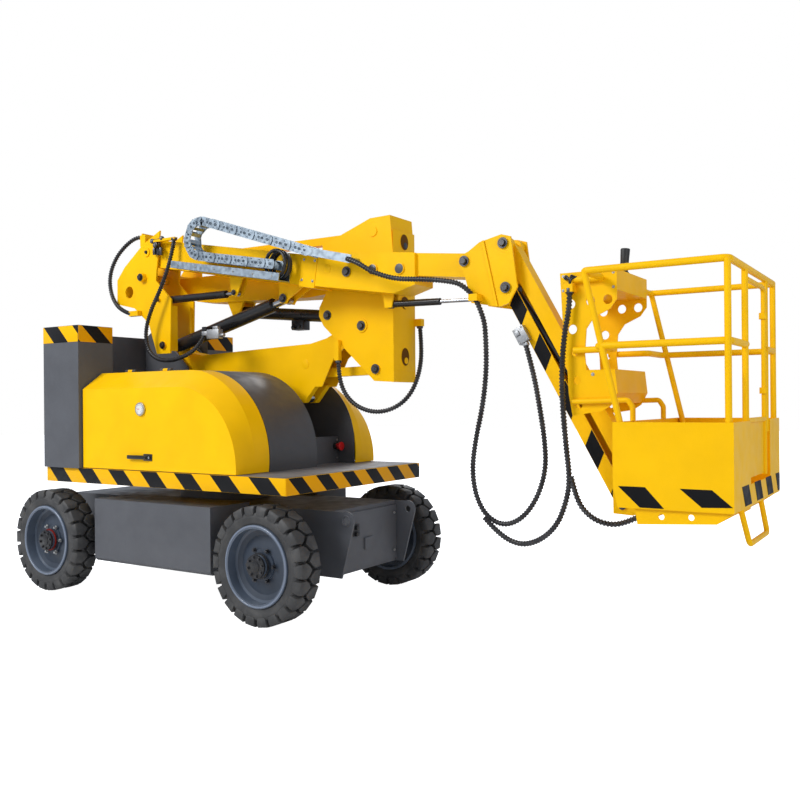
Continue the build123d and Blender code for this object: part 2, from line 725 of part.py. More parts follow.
def fly_boom():
    half_y = BOOM_HALF_Y - BOOM_SHEET - FLY_GAP
    half_z = BOOM_HALF_Z - BOOM_SHEET - FLY_GAP
    start = COLLAR_END + 8
    tube = box((FLY_TAIL, start), around(0, half_y), around(0, half_z))
    tube -= box((FLY_TAIL - 1, start + 1), around(0, half_y - FLY_SHEET), around(0, half_z - FLY_SHEET))
    fly = on_boom(tube)
    wedge = [(862, 1923), (898, 2128), (1362, 2079), (1592, 2054), (1592, 1875), (1448, 1835)]
    nose = outline_tube(wedge, 0, WEDGE_HALF, BOOM_SHEET)
    for hole in ((1111, 1988), (1301, 1988), (1498, 1970)):
        nose += drum(hole, 24, around(0, WEDGE_HALF + 5))
    fly += nose
    arm_side = [(1592, 2054), (1940, 2017), (1960, 1973), (1935, 1888), (1592, 1926)]
    arm = outline_tube(arm_side, 0, FLY_ARM_HALF, BOOM_SHEET)
    boss_half = HEAD_HALF - HEAD_PLATE - SIDE_GAP
    arm += drum(HEAD_PIVOT, 46, around(0, boss_half))
    arm -= drum(HEAD_PIVOT, MAIN_PIN_R - 6 + PIN_GAP, around(0, boss_half))
    bx, bz = SLAVE_BASE
    lug = [(bx - 40, 1860), (bx - 24, bz - 22), (bx + 24, bz - 22), (bx + 40, 1848)]
    lugs = slab(lug, around(0, 30)) - slab(lug, around(0, 20)) + drum(SLAVE_BASE, 12, around(0, 30))
    return [fly, arm, lugs - slab(wedge, around(0, WEDGE_HALF))]


HEAD_OUTLINE = [
    (1923, 1885), (1890, 1960), (1905, 2010), (1944, 2024), (2011, 2066), (2145, 2095),
    (2199, 2079), (2237, 1811), (2187, 1729), (2132, 1714), (2059, 1727), (1960, 1745),
]


def head():
    near = slab(HEAD_OUTLINE, (-HEAD_HALF, -HEAD_HALF + HEAD_PLATE))
    far = mirrored(near)
    near += box((1978, 2030), (-164, -HEAD_HALF), (1748, 1784))
    pins = drum(HEAD_PIVOT, MAIN_PIN_R - 6, around(0, HEAD_HALF + 6))
    for pivot in (JIB_LINK_PIN, JIB_PIN):
        pins += drum(pivot, JIB_PIN_R, around(0, HEAD_HALF + 6))
    return [near, far, between([near, far], pins)]


JIB_TURN = atan2(BASKET_PIN[1] - JIB_PIN[1], BASKET_PIN[0] - JIB_PIN[0])
JIB_LENGTH = hypot(BASKET_PIN[0] - JIB_PIN[0], BASKET_PIN[1] - JIB_PIN[1])
BASKET_LINK_PIN = (BASKET_PIN[0] + JIB_LINK_PIN[0] - JIB_PIN[0], BASKET_PIN[1] + JIB_LINK_PIN[1] - JIB_PIN[1])
JIB_BOSS_R = 38
JIB_PIN_R = 20
JIB_EYE_HALF = 24
CHANNEL_OVERRUN = 60


def channel(length, half, low, high, sheet, opening):
    """A channel along X, open towards +Z or -Z, with a boss at each end for a pin."""
    boss_half = HEAD_HALF - HEAD_PLATE - SIDE_GAP
    body = box((0, length), around(0, half), (low, high))
    inner = (low + sheet, high + 1) if opening > 0 else (low - 1, high - sheet)
    for u in (0, length):
        body += drum((u, 0), JIB_BOSS_R, around(0, boss_half))
    body -= box((-CHANNEL_OVERRUN, length + CHANNEL_OVERRUN), around(0, half - sheet), inner)
    for u in (0, length):
        body -= drum((u, 0), JIB_BOSS_R + 6, around(0, half - sheet))
        body -= drum((u, 0), JIB_PIN_R + PIN_GAP, around(0, boss_half))
    return body


def on_jib(pin, shape):
    return Pos(pin[0], 0, pin[1]) * Rot(0, -degrees(JIB_TURN), 0) * shape


def jib_boom():
    """Lower member, open upwards, round the lower end of the jib cylinder, with a valve on its side."""
    body = channel(JIB_LENGTH, JIB_HALF, JIB_LOW, JIB_HIGH, JIB_SHEET, 1)
    return on_jib(JIB_PIN, body + box((215, 300), (-88, -JIB_HALF), (-88, -25)))


def jib_link():
    """Upper member, open downwards, round the upper end of the jib cylinder."""
    body = channel(JIB_LENGTH, JIB_LINK_HALF, JIB_LINK_LOW, JIB_LINK_HIGH, JIB_SHEET - 1, -1)
    return on_jib(JIB_LINK_PIN, body)


save("outer_boom", outer_boom())
save("fly_boom", *fly_boom())
save("head", *head())
save("jib_boom", jib_boom())
save("jib_link", jib_link())


# Cable track

TRACK_Y = (-225, -135)
TRACK_BAND = 44
TRACK_SHEET = 3
TRACK_BEND_R = 152


def cable_tray():
    """Folded tray beside the outer boom on three brackets."""
    u0, u1 = boom_local((-250, 2163))[0], boom_local((700, 1990))[0]
    low = boom_local((-224, 2116))[1] - 4
    tray = box((u0, u1), (TRACK_Y[0] - 4, TRACK_Y[1] + 4), (low, low + 46))
    tray -= box((u0 - 1, u1 + 1), TRACK_Y, (low + 4, low + 50))
    for share in (0.12, 0.5, 0.88):
        u = u0 + (u1 - u0) * share
        tray += box(around(u, 25), (TRACK_Y[1] + 4, -BOOM_HALF_Y), (low, low + 8))
    return on_boom(tray)


save("cable_tray", cable_tray())


def track_low():
    return boom_local((-224, 2116))[1]


def track_lower():
    u0, u1 = boom_local((-40, 2140))[0] + 10, boom_local((690, 1990))[0]
    low = track_low()
    band = box((u0, u1), (TRACK_Y[0] + 1, TRACK_Y[1] - 1), (low, low + TRACK_BAND))
    band -= box((u0 - 1, u1 - 40), (TRACK_Y[0] + 9, TRACK_Y[1] - 9), (low + TRACK_SHEET, low + TRACK_BAND + 1))
    return on_boom(band)


def track_bend():
    """Half turn of the track at its rear end."""
    u0 = boom_local((-40, 2140))[0]
    low = track_low()
    centre = (u0, low + TRACK_BEND_R + 1)
    span = (TRACK_Y[0] + 14, TRACK_Y[1] - 14)
    outer = TRACK_BEND_R - TRACK_SHEET - SIDE_GAP + 1
    ring = drum(centre, outer, span) - drum(centre, outer - TRACK_BAND, span)
    ring &= box((u0 - 200, u0 + 4), span, (low - 20, low + 2 * TRACK_BEND_R + 20))
    return on_boom(ring)


def track_upper():
    u0 = boom_local((-40, 2140))[0]
    low = track_low()
    start_v = low + 1 + 2 * TRACK_BEND_R - TRACK_BAND / 2
    slope = radians(BOOM_SLOPE)
    start = (BOOM_PIVOT[0] + (u0 + 10) * cos(slope) + start_v * sin(slope),
             BOOM_PIVOT[1] - (u0 + 10) * sin(slope) + start_v * cos(slope))
    end = (935, 2100)
    band = strip(start, end, -TRACK_BAND / 2, TRACK_BAND / 2, (TRACK_Y[0] + 1, TRACK_Y[1] - 1))
    return band


def track_bracket():
    plate = [(930, 2075), (930, 2128), (965, 2135), (1215, 2045), (1215, 2020), (1130, 2020)]
    bracket = slab(plate, (TRACK_Y[0] - 5, TRACK_Y[0] + 1.5))
    foot = [(1100, 2020), (1100, 2090), (1215, 2045), (1215, 2020)]
    return bracket + slab(foot, (TRACK_Y[0] - 5, -WEDGE_HALF))


save("track_lower", track_lower())
save("track_bend", track_bend())
save("track_upper", track_upper() + track_bracket())


# Cylinders

# name, base, eye, centre y, barrel radius, rod radius, barrel length, rod length, pin radius, eye half width
CYLINDERS = [
    ("riser_cylinder", RISER_CYL_BASE, RISER_CYL_EYE, RISER_Y, 50, 27, 930, 940, RISER_CYL_PIN_R, EYE_HALF, 0),
    ("upper_cylinder", UPPER_CYL_BASE, UPPER_CYL_EYE, RISER_Y, 40, 22, 750, 720, LINK_PIN_R, 26, 0),
    ("lift_cylinder", LIFT_BASE, LIFT_EYE, LIFT_Y, 45, 25, 930, 930, 24, EYE_HALF, 0),
    ("master_cylinder", MASTER_BASE, MASTER_EYE, MASTER_Y, 25, 13, 600, 610, 14, 14, 0),
    ("slave_cylinder", SLAVE_BASE, SLAVE_EYE, 0, 20, 11, 340, 340, 12, 15, 244),
    ("jib_cylinder", JIB_PIN, BASKET_LINK_PIN, 0, 24, 13, 950, 960, JIB_PIN_R, JIB_EYE_HALF, 0),
]
ROD_GAP = 1


def cylinder_parts(base, eye, y, barrel_r, rod_r, barrel_length, rod_length, pin_r, eye_half, retracts):
    """Barrel with its bored eye, and rod with its own eye, along the line from base to eye."""
    length = hypot(eye[0] - base[0], eye[1] - base[1])
    angle = degrees(atan2(eye[1] - base[1], eye[0] - base[0]))
    neck = pin_r + 14
    barrel = bar((neck - 4, 0, 0), (barrel_length, 0, 0), barrel_r)
    barrel += drum((0, 0), neck, around(0, eye_half))
    barrel -= bar((length - rod_length - retracts - 10, 0, 0), (length, 0, 0), rod_r + ROD_GAP)
    barrel -= drum((0, 0), pin_r + PIN_GAP, around(0, barrel_r + eye_half))
    rod = bar((length - rod_length, 0, 0), (length, 0, 0), rod_r)
    rod += drum((length, 0), max(rod_r * 1.4, 20), around(0, eye_half))
    place = Pos(base[0], y, base[1]) * Rot(0, -angle, 0)
    return place * barrel, place * rod


for name, *sizes in CYLINDERS:
    barrel, rod = cylinder_parts(*sizes)
    if name == "lift_cylinder":
        barrel += box((-70, -34), (-134, LIFT_Y - 28), (1690, 1722))
    save(f"{name}_barrel", barrel)
    save(f"{name}_rod", rod)


# Basket

CONSOLE_HALF = 222
CONSOLE_PLATE = 8
CONSOLE_TOP = 1838
CONSOLE_LOW = 1738
POST_Y = BASKET_HALF_Y - PANEL - TUBE_R
POST_X = BASKET_FRONT - PANEL - TUBE_R
POST_R = TUBE_R - 1.5
CARRIER_INNER = HEAD_HALF - HEAD_PLATE
CARRIER_PLATE = 12


def console():
    """Two plates with lightening holes, joined by the control box on top and a junction box below."""
    outline = [
        (2533, CONSOLE_TOP), (2824, CONSOLE_TOP), (2824, 1695), (2790, 1650), (2705, 1612), (2668, 1560),
        (2659, 1437), (2667, 1360), (2811, 1362), (2824, 1250), (2790, 1190), (2746, 1163), (2593, 1141),
        (2574, 1252), (2565, 1440), (2545, 1600),
    ]
    # x, z, radius
    holes = [
        (2779, 1695, 23), (2691, 1693, 23), (2589, 1684, 23), (2597, 1561, 23),
        (2607, 1445, 16), (2621, 1312, 20), (2628, 1190, 16),
    ]
    near = slab(outline, (-CONSOLE_HALF, -CONSOLE_HALF + CONSOLE_PLATE))
    for x, z, radius in holes:
        near -= drum((x, z), radius, (-CONSOLE_HALF, -CONSOLE_HALF + CONSOLE_PLATE))
    far = mirrored(near)
    inner = around(0, CONSOLE_HALF - CONSOLE_PLATE)
    upper = box((2540, 2824), inner, (CONSOLE_LOW, CONSOLE_TOP))
    lower = slab([(2680, 1362), (2811, 1362), (2824, 1250), (2790, 1200), (2690, 1200)], inner)
    clamp = box((2578, 2620), (-274, -CONSOLE_HALF), (1738, 1776))
    return [near + clamp, far, upper, lower]


def basket_carrier():
    """Plates under the rear of the basket that hold the jib's two pins."""
    rear = BASKET_REAR
    under = FLOOR_Z - PANEL
    outline = [(2752, 660), (2748, 970), (2830, 985), (rear, 860), (rear, FLOOR_Z + 90), (rear + 20, under),
               (3000, under), (3000, 700), (2850, 655)]
    near = slab(outline, (-CARRIER_INNER - CARRIER_PLATE, -CARRIER_INNER))
    plates = [near, mirrored(near)]
    outer = CARRIER_INNER + CARRIER_PLATE + 5
    inner = drum(BASKET_PIN, JIB_PIN_R, around(0, outer))
    for span in ((-outer, -JIB_EYE_HALF - SIDE_GAP), (JIB_EYE_HALF + SIDE_GAP, outer)):
        inner += drum(BASKET_LINK_PIN, JIB_PIN_R, span)
    beam_half = CARRIER_INNER + CARRIER_PLATE
    beam = box((2920, BASKET_FRONT - 60), around(0, beam_half), (FLOOR_Z - 54, FLOOR_Z - PANEL))
    beam -= box((2920, BASKET_FRONT - 66), around(0, beam_half - 6), (FLOOR_Z - 60, FLOOR_Z - PANEL - 6))
    return [*plates, between(plates, inner + beam)]


def basket_panels():
    corner = (BASKET_REAR + 20, BASKET_REAR)
    near = slab(
        [(corner[1], PANEL_TOP), (BASKET_FRONT, PANEL_TOP), (BASKET_FRONT, FLOOR_Z - PANEL),
         (corner[0], FLOOR_Z - PANEL), (corner[1], FLOOR_Z + 90)],
        (-BASKET_HALF_Y, -BASKET_HALF_Y + PANEL),
    )
    body = near + mirrored(near)
    across = around(0, BASKET_HALF_Y)
    body += box((corner[0], BASKET_FRONT), across, (FLOOR_Z - PANEL, FLOOR_Z))
    body += box((corner[1], corner[1] + PANEL), across, (FLOOR_Z + 89, PANEL_TOP))
    body += slab([(corner[1], FLOOR_Z + 90), (corner[1] + PANEL, FLOOR_Z + 90),
                  (corner[0] + PANEL, FLOOR_Z - PANEL), (corner[0], FLOOR_Z - PANEL)], across)
    front = (BASKET_FRONT - PANEL, BASKET_FRONT)
    body += box(front, (-BASKET_HALF_Y, GATE_NEAR_Y), (FLOOR_Z - PANEL, PANEL_TOP))
    body += box(front, (GATE_FAR_Y, BASKET_HALF_Y), (FLOOR_Z - PANEL, PANEL_TOP))
    return body + box(front, (GATE_NEAR_Y, GATE_FAR_Y), (FLOOR_Z - PANEL, FLOOR_Z + 90))


GATE_Y = (GATE_NEAR_Y + TUBE_R + 8, GATE_FAR_Y - TUBE_R - 8)
GATE_LOW = FLOOR_Z + 105
STILE_R = 12
GATE_STILE_Y = GATE_Y[1] - STILE_R
GATE_HINGES = (1240, 1600)


def rail_loop(z, rear):
    """One side-to-side rail: along the console plate, rear, side and front, from pieces in a row."""
    plate_y = CONSOLE_HALF + TUBE_R
    points = [
        (2610, -plate_y, z), (rear, -plate_y, z), (rear, -POST_Y, z), (POST_X, -POST_Y, z),
        (POST_X, POST_Y, z), (rear, POST_Y, z), (rear, plate_y, z), (2610, plate_y, z),
    ]
    return pipe(points, TUBE_R, 30)


def basket_frame():
    frame = rail_loop(TOP_RAIL_Z - 2, RAIL_REAR + 4) + rail_loop(MID_RAIL_Z, RAIL_REAR + 68)
    low = PANEL_TOP - 60
    side = POST_Y + TUBE_R - POST_R - 0.1
    for y in (-side, side):
        rear_low = (BASKET_REAR + 42, y, low)
        frame += bar((RAIL_REAR + 10, y, TOP_RAIL_Z - 5), rear_low, POST_R)
        frame += bar((POST_X - 4, y, TOP_RAIL_Z - 5), (POST_X - 4, y, low), POST_R)
    for y in (GATE_NEAR_Y, GATE_FAR_Y):
        frame += bar((POST_X, y, TOP_RAIL_Z - 5), (POST_X, y, low), POST_R)
    for sign in (-1, 1):
        y = sign * (CONSOLE_HALF + 13)
        frame += pipe([(2600, y, 1208), (2880, y, 1214), (2902, y, 1180), (2902, y, PANEL_TOP)], 13, 22)
    for z in GATE_HINGES:
        eye = post((POST_X, GATE_STILE_Y), STILE_R + 9, (z, z + 30))
        eye += box(around(POST_X, 8), (GATE_STILE_Y, GATE_FAR_Y), (z, z + 30))
        frame += eye - post((POST_X, GATE_STILE_Y), STILE_R + PIN_GAP, (z, z + 30))
    gap = (GATE_NEAR_Y + TUBE_R, GATE_FAR_Y - TUBE_R)
    return frame - box(around(POST_X, 40), gap, around(MID_RAIL_Z, 40))


def basket_step():
    """Bent tube step under the gate."""
    x, low = BASKET_FRONT - 44, 568
    top = FLOOR_Z - PANEL
    points = [(x, GATE_NEAR_Y + 8, top), (x, GATE_NEAR_Y + 8, top - 30), (x + 30, GATE_NEAR_Y + 30, low),
              (x + 30, GATE_FAR_Y - 20, low), (x, GATE_FAR_Y - 4, top - 30), (x, GATE_FAR_Y - 4, top)]
    return pipe(points, 13, 30)


def gate():
    """Stile and top bar in one bent tube, a bar at panel height and a recessed panel below."""
    stile_y = GATE_STILE_Y
    top = TOP_RAIL_Z - 50
    body = pipe([(POST_X, stile_y, GATE_LOW), (POST_X, stile_y, top), (POST_X, GATE_Y[0], top)], STILE_R, 30)
    body += bar((POST_X, stile_y, PANEL_TOP), (POST_X, GATE_Y[0], PANEL_TOP), STILE_R)
    return body + box((POST_X - 5, POST_X - 1), (GATE_Y[0] + 2, stile_y), (GATE_LOW + 6, PANEL_TOP))


save("console", *console())
save("basket_carrier", *basket_carrier())
save("basket_panels", basket_panels())
save("basket_frame", basket_frame(), basket_step())
save("gate", gate())


# Hoses, each along points chosen by hand

HOSE_R = 15

HOSES = {
    "hose_rear": [
        (-708, -20, 2396), (-782, -50, 2413), (-874, -80, 2368), (-970, -110, 2267), (-1022, -128, 2126),
        (-989, -130, 1979), (-891, -128, 1879), (-786, -124, 1852),
    ],
    "hose_lift": [
        (-342, -124, 2330), (-350, -146, 2190), (-432, -168, 1989), (-522, -180, 1845), (-575, -182, 1691),
        (-526, -184, 1552), (-366, -184, 1499), (-182, -172, 1530), (-84, -140, 1602), (-55, -118, 1683),
    ],
    "hose_knuckle": [
        (868, 118, 1482), (876, 114, 1372), (926, 112, 1262), (1022, 116, 1184), (1149, 136, 1150),
        (1263, 176, 1179), (1340, 226, 1258), (1363, 290, 1388), (1338, 360, 1539), (1308, 383, 1693),
    ],
    "hose_fly": [
        (1221, -232, 2035), (1296, -236, 2008), (1388, -224, 1946), (1531, -200, 1897), (1683, -182, 1887),
        (1838, -164, 1868), (1942, -150, 1840), (1990, -142, 1780),
    ],
    "hose_jib": [
        (2012, -140, 1752), (2060, -140, 1660), (2071, -142, 1540), (2075, -146, 1380), (2054, -150, 1195),
        (2010, -155, 1010), (1990, -160, 851), (2019, -170, 711), (2089, -180, 611), (2189, -180, 571),
        (2293, -180, 613), (2374, -170, 718), (2416, -150, 865), (2402, -132, 1015), (2362, -108, 1193),
        (2318, -84, 1365), (2266, -70, 1518),
    ],
    "hose_basket": [
        (2095, -215, 612), (2176, -220, 536), (2301, -230, 487), (2421, -245, 520), (2523, -262, 604),
        (2576, -270, 720), (2600, -276, 833), (2584, -278, 977), (2566, -276, 1169), (2560, -272, 1363),
        (2572, -264, 1540), (2596, -256, 1660), (2598, -255, 1741),
    ],
    "hose_floor": [
        (2606, -276, 850), (2626, -264, 742), (2674, -240, 664), (2744, -208, 622), (2820, -166, 618),
        (2880, -98, 652),
    ],
}


def hose(points):
    """A tube along straight runs, with the largest arc that each corner leaves room for."""
    runs = [Vector(*b) - Vector(*a) for a, b in zip(points, points[1:])]
    radii = [
        0.45 * min(a.length, b.length) / tan(radians(a.get_angle(b)) / 2)
        for a, b in zip(runs, runs[1:])
    ]
    path = FilletPolyline(*points, radius=radii)
    profile = Plane(origin=path @ 0, z_dir=path % 0) * Circle(HOSE_R)
    tube = sweep(profile, path)
    drift = tube.volume / (pi * HOSE_R ** 2 * path.length) - 1
    print("hose length", round(path.length), "least radius", round(min(radii)), "volume error", round(drift, 4))
    return tube


for name, points in HOSES.items():
    save(name, hose(points))
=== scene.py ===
from math import atan2, cos, hypot, pi, radians, sin

import bpy
from mathutils import Matrix, Vector


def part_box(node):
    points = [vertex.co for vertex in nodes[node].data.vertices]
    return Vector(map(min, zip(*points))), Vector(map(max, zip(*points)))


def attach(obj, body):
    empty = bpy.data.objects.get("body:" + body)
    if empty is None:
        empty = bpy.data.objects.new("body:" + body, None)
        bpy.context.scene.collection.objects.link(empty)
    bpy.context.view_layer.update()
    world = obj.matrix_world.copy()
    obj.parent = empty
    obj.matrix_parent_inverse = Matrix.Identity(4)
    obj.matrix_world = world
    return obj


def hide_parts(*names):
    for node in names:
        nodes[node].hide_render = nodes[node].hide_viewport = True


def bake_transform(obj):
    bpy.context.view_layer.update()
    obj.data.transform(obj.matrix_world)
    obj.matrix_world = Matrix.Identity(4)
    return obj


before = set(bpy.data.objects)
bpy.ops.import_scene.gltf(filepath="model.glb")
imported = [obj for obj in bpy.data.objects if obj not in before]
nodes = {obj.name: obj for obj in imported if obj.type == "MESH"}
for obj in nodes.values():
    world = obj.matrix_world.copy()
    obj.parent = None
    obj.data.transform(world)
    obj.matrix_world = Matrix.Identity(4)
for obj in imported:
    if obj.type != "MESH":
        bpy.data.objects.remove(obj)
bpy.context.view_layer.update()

# The part's drawings count millimetres from the turntable's axis, which lies this far from the middle.
SLEW_X = -1.053


def at(x, y, z):
    """A point of the drawings, in metres from the middle of the machine."""
    return Vector((x / 1000 + SLEW_X, y / 1000, z / 1000))


# Camera

bpy.ops.object.camera_add(location=(3.1608, -4.0164, 1.2097))
camera = bpy.context.object
camera.name = "camera"
camera.rotation_euler = (radians(90.019), radians(0.488), radians(30.923))
camera.data.lens = 37.779
camera.data.shift_x = -0.07185
camera.data.shift_y = 0.0028
bpy.context.scene.camera = camera


# Working helpers


def alone(piece):
    """Only this piece is selected and active."""
    bpy.ops.object.select_all(action="DESELECT")
    piece.select_set(True)
    bpy.context.view_layer.objects.active = piece


def seat(piece):
    """The piece keeps its place in its mesh, with its object at the origin."""
    alone(piece)
    bpy.ops.object.transform_apply(location=True, rotation=True, scale=True)
    return piece


def face_out(piece):
    alone(piece)
    bpy.ops.object.mode_set(mode="EDIT")
    bpy.ops.mesh.select_all(action="SELECT")
    bpy.ops.mesh.remove_doubles(threshold=0.00002)
    bpy.ops.mesh.normals_make_consistent(inside=False)
    bpy.ops.object.mode_set(mode="OBJECT")
    return piece


def soften(piece, width, segments=2):
    """Rounds the edges of a piece with an applied bevel."""
    alone(piece)
    bevel = piece.modifiers.new("edges", "BEVEL")
    bevel.width = width
    bevel.segments = segments
    bevel.limit_method = "ANGLE"
    bpy.ops.object.modifier_apply(modifier=bevel.name)
    bpy.ops.object.shade_smooth_by_angle(angle=radians(35))
    return piece


def block(name, x, y, z, edge=0.0015):
    """A rounded block between limits given in the drawings' millimetres."""
    low, high = at(x[0], y[0], z[0]), at(x[1], y[1], z[1])
    bpy.ops.mesh.primitive_cube_add(size=1, location=(low + high) / 2)
    piece = bpy.context.object
    piece.name = name
    piece.scale = high - low
    seat(piece)
    return soften(piece, edge)


def drum(name, centre, radius, length, along="y", sides=32, edge=0.0015):
    """A round piece about a point of the drawings, lengths in millimetres."""
    turn = {"x": (0, pi / 2, 0), "y": (pi / 2, 0, 0), "z": (0, 0, 0)}[along]
    bpy.ops.mesh.primitive_cylinder_add(
        vertices=sides, radius=radius / 1000, depth=length / 1000, location=at(*centre), rotation=turn
    )
    piece = bpy.context.object
    piece.name = name
    seat(piece)
    return soften(piece, edge) if edge else piece


def outline(name, points, thickness, push):
    """A plate cut to an outline in space, pushed out along one direction by its thickness."""
    bpy.ops.mesh.primitive_circle_add(vertices=len(points), radius=0.1, fill_type="NGON")
    piece = bpy.context.object
    piece.name = name
    for vertex, point in zip(piece.data.vertices, points):
        vertex.co = point
    bpy.ops.object.mode_set(mode="EDIT")
    bpy.ops.mesh.select_all(action="SELECT")
    bpy.ops.mesh.extrude_region_move(TRANSFORM_OT_translate={"value": Vector(push) * thickness})
    bpy.ops.object.mode_set(mode="OBJECT")
    seat(piece)
    return face_out(piece)


def copies(name, model, places):
    """One piece from a model set down at each place; the model itself goes."""
    made = []
    for place in places:
        again = model.copy()
        again.data = model.data.copy()
        again.data.transform(place)
        bpy.context.scene.collection.objects.link(again)
        made.append(again)
    bpy.data.objects.remove(model)
    bpy.ops.object.select_all(action="DESELECT")
    for again in made:
        again.select_set(True)
    bpy.context.view_layer.objects.active = made[0]
    if len(made) > 1:
        bpy.ops.object.join()
    joined = bpy.context.object
    joined.name = name
    return joined


def joined(name, *parts):
    bpy.ops.object.select_all(action="DESELECT")
    for part in parts:
        part.select_set(True)
    bpy.context.view_layer.objects.active = parts[0]
    bpy.ops.object.join()
    parts[0].name = name
    return parts[0]


def finish_as(piece, material, body):
    piece.data.materials.clear()
    piece.data.materials.append(material)
    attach(piece, body)
    return piece


# Materials


def surface(name, colour, roughness, metallic=0.0, coat=0.0):
    """A shader with object coordinates ready for its patterns."""
    material = bpy.data.materials.new(name)
    material.use_nodes = True
    tree = material.node_tree
    shader = tree.nodes["Principled BSDF"]
    shader.inputs["Base Color"].default_value = (*colour, 1)
    shader.inputs["Roughness"].default_value = roughness
    shader.inputs["Metallic"].default_value = metallic
    shader.inputs["Coat Weight"].default_value = coat
    coords = tree.nodes.new("ShaderNodeTexCoord")
    return material, tree, shader, coords


def noise(tree, coords, scale, detail=4.0):
    pattern = tree.nodes.new("ShaderNodeTexNoise")
    pattern.inputs["Scale"].default_value = scale
    pattern.inputs["Detail"].default_value = detail
    tree.links.new(coords.outputs["Object"], pattern.inputs["Vector"])
    return pattern


def ramp(tree, source, stops):
    """Colours or greys that follow a value, from pairs of place and colour."""
    scale = tree.nodes.new("ShaderNodeValToRGB")
    for stop, (place, colour) in zip(scale.color_ramp.elements, (stops[0], stops[-1])):
        stop.position = place
        stop.color = (*colour, 1)
    for place, colour in stops[1:-1]:
        stop = scale.color_ramp.elements.new(place)
        stop.color = (*colour, 1)
    tree.links.new(source, scale.inputs["Fac"])
    return scale


def bumped(tree, shader, source, strength, distance):
    bump = tree.nodes.new("ShaderNodeBump")
    bump.inputs["Strength"].default_value = strength
    bump.inputs["Distance"].default_value = distance
    tree.links.new(source, bump.inputs["Height"])
    tree.links.new(bump.outputs["Normal"], shader.inputs["Normal"])


def shade(colour, factor):
    return tuple(min(1.0, part * factor) for part in colour)


def paint(name, colour, roughness=0.36, mottle=0.05, coat=0.0, shine=0.12, peel=0.12):
    """Sprayed enamel: faint cloudiness, orange peel, and dust that dulls it in patches."""
    material, tree, shader, coords = surface(name, colour, roughness, coat=coat)
    shader.inputs["Specular IOR Level"].default_value = shine
    clouds = noise(tree, coords, 5.0)
    cloudy = [(0.3, shade(colour, 1 - mottle)), (0.7, shade(colour, 1 + mottle))]
    tint = ramp(tree, clouds.outputs["Fac"], cloudy)
    tree.links.new(tint.outputs["Color"], shader.inputs["Base Color"])
    dull = noise(tree, coords, 14.0, 6.0)
    dusty = [(0.3, (roughness * 0.8,) * 3), (0.75, (roughness * 1.35,) * 3)]
    gloss = ramp(tree, dull.outputs["Fac"], dusty)
    tree.links.new(gloss.outputs["Color"], shader.inputs["Roughness"])
    grain = noise(tree, coords, 420.0, 1.0)
    bumped(tree, shader, grain.outputs["Fac"], peel, 0.0006)
    return material


def metal(name, colour, roughness, scale=90.0, spread=0.16):
    """Bare or plated metal: spangle in its colour and gloss."""
    material, tree, shader, coords = surface(name, colour, roughness, metallic=1.0)
    spangle = noise(tree, coords, scale, 3.0)
    tones = [(0.35, shade(colour, 1 - spread)), (0.65, shade(colour, 1 + spread))]
    tint = ramp(tree, spangle.outputs["Fac"], tones)
    tree.links.new(tint.outputs["Color"], shader.inputs["Base Color"])
    polish = [(0.3, (roughness * 0.75,) * 3), (0.7, (roughness * 1.3,) * 3)]
    gloss = ramp(tree, spangle.outputs["Fac"], polish)
    tree.links.new(gloss.outputs["Color"], shader.inputs["Roughness"])
    return material


def rubber(name, colour, roughness, grain, dust):
    """Black rubber with grain and pale dust in patches."""
    material, tree, shader, coords = surface(name, colour, roughness)
    patches = noise(tree, coords, 9.0, 8.0)
    tint = ramp(tree, patches.outputs["Fac"], [(0.45, colour), (0.8, dust)])
    tree.links.new(tint.outputs["Color"], shader.inputs["Base Color"])
    fine = noise(tree, coords, grain, 2.0)
    bumped(tree, shader, fine.outputs["Fac"], 0.25, 0.001)
    return material


def hazard(name, across, period, offset=0.0, light=(0.90, 0.47, 0.001)):
    """Diagonal black and yellow bands; across gives how far X, Y and Z count towards the next band."""
    material, tree, shader, coords = surface(name, light, 0.4)
    shader.inputs["Specular IOR Level"].default_value = 0.12
    split = tree.nodes.new("ShaderNodeVectorMath")
    split.operation = "DOT_PRODUCT"
    split.inputs[1].default_value = tuple(part / period for part in across)
    tree.links.new(coords.outputs["Object"], split.inputs[0])
    shifted = tree.nodes.new("ShaderNodeMath")
    shifted.operation = "ADD"
    shifted.inputs[1].default_value = 100 + offset
    tree.links.new(split.outputs["Value"], shifted.inputs[0])
    turn = tree.nodes.new("ShaderNodeMath")
    turn.operation = "FRACT"
    tree.links.new(shifted.outputs["Value"], turn.inputs[0])
    bands = ramp(tree, turn.outputs["Value"], [(0.5, light), (0.508, (0.012, 0.012, 0.013))])
    tree.links.new(bands.outputs["Color"], shader.inputs["Base Color"])
    wear = noise(tree, coords, 30.0, 6.0)
    gloss = ramp(tree, wear.outputs["Fac"], [(0.3, (0.28,) * 3), (0.75, (0.5,) * 3)])
    tree.links.new(gloss.outputs["Color"], shader.inputs["Roughness"])
    return material


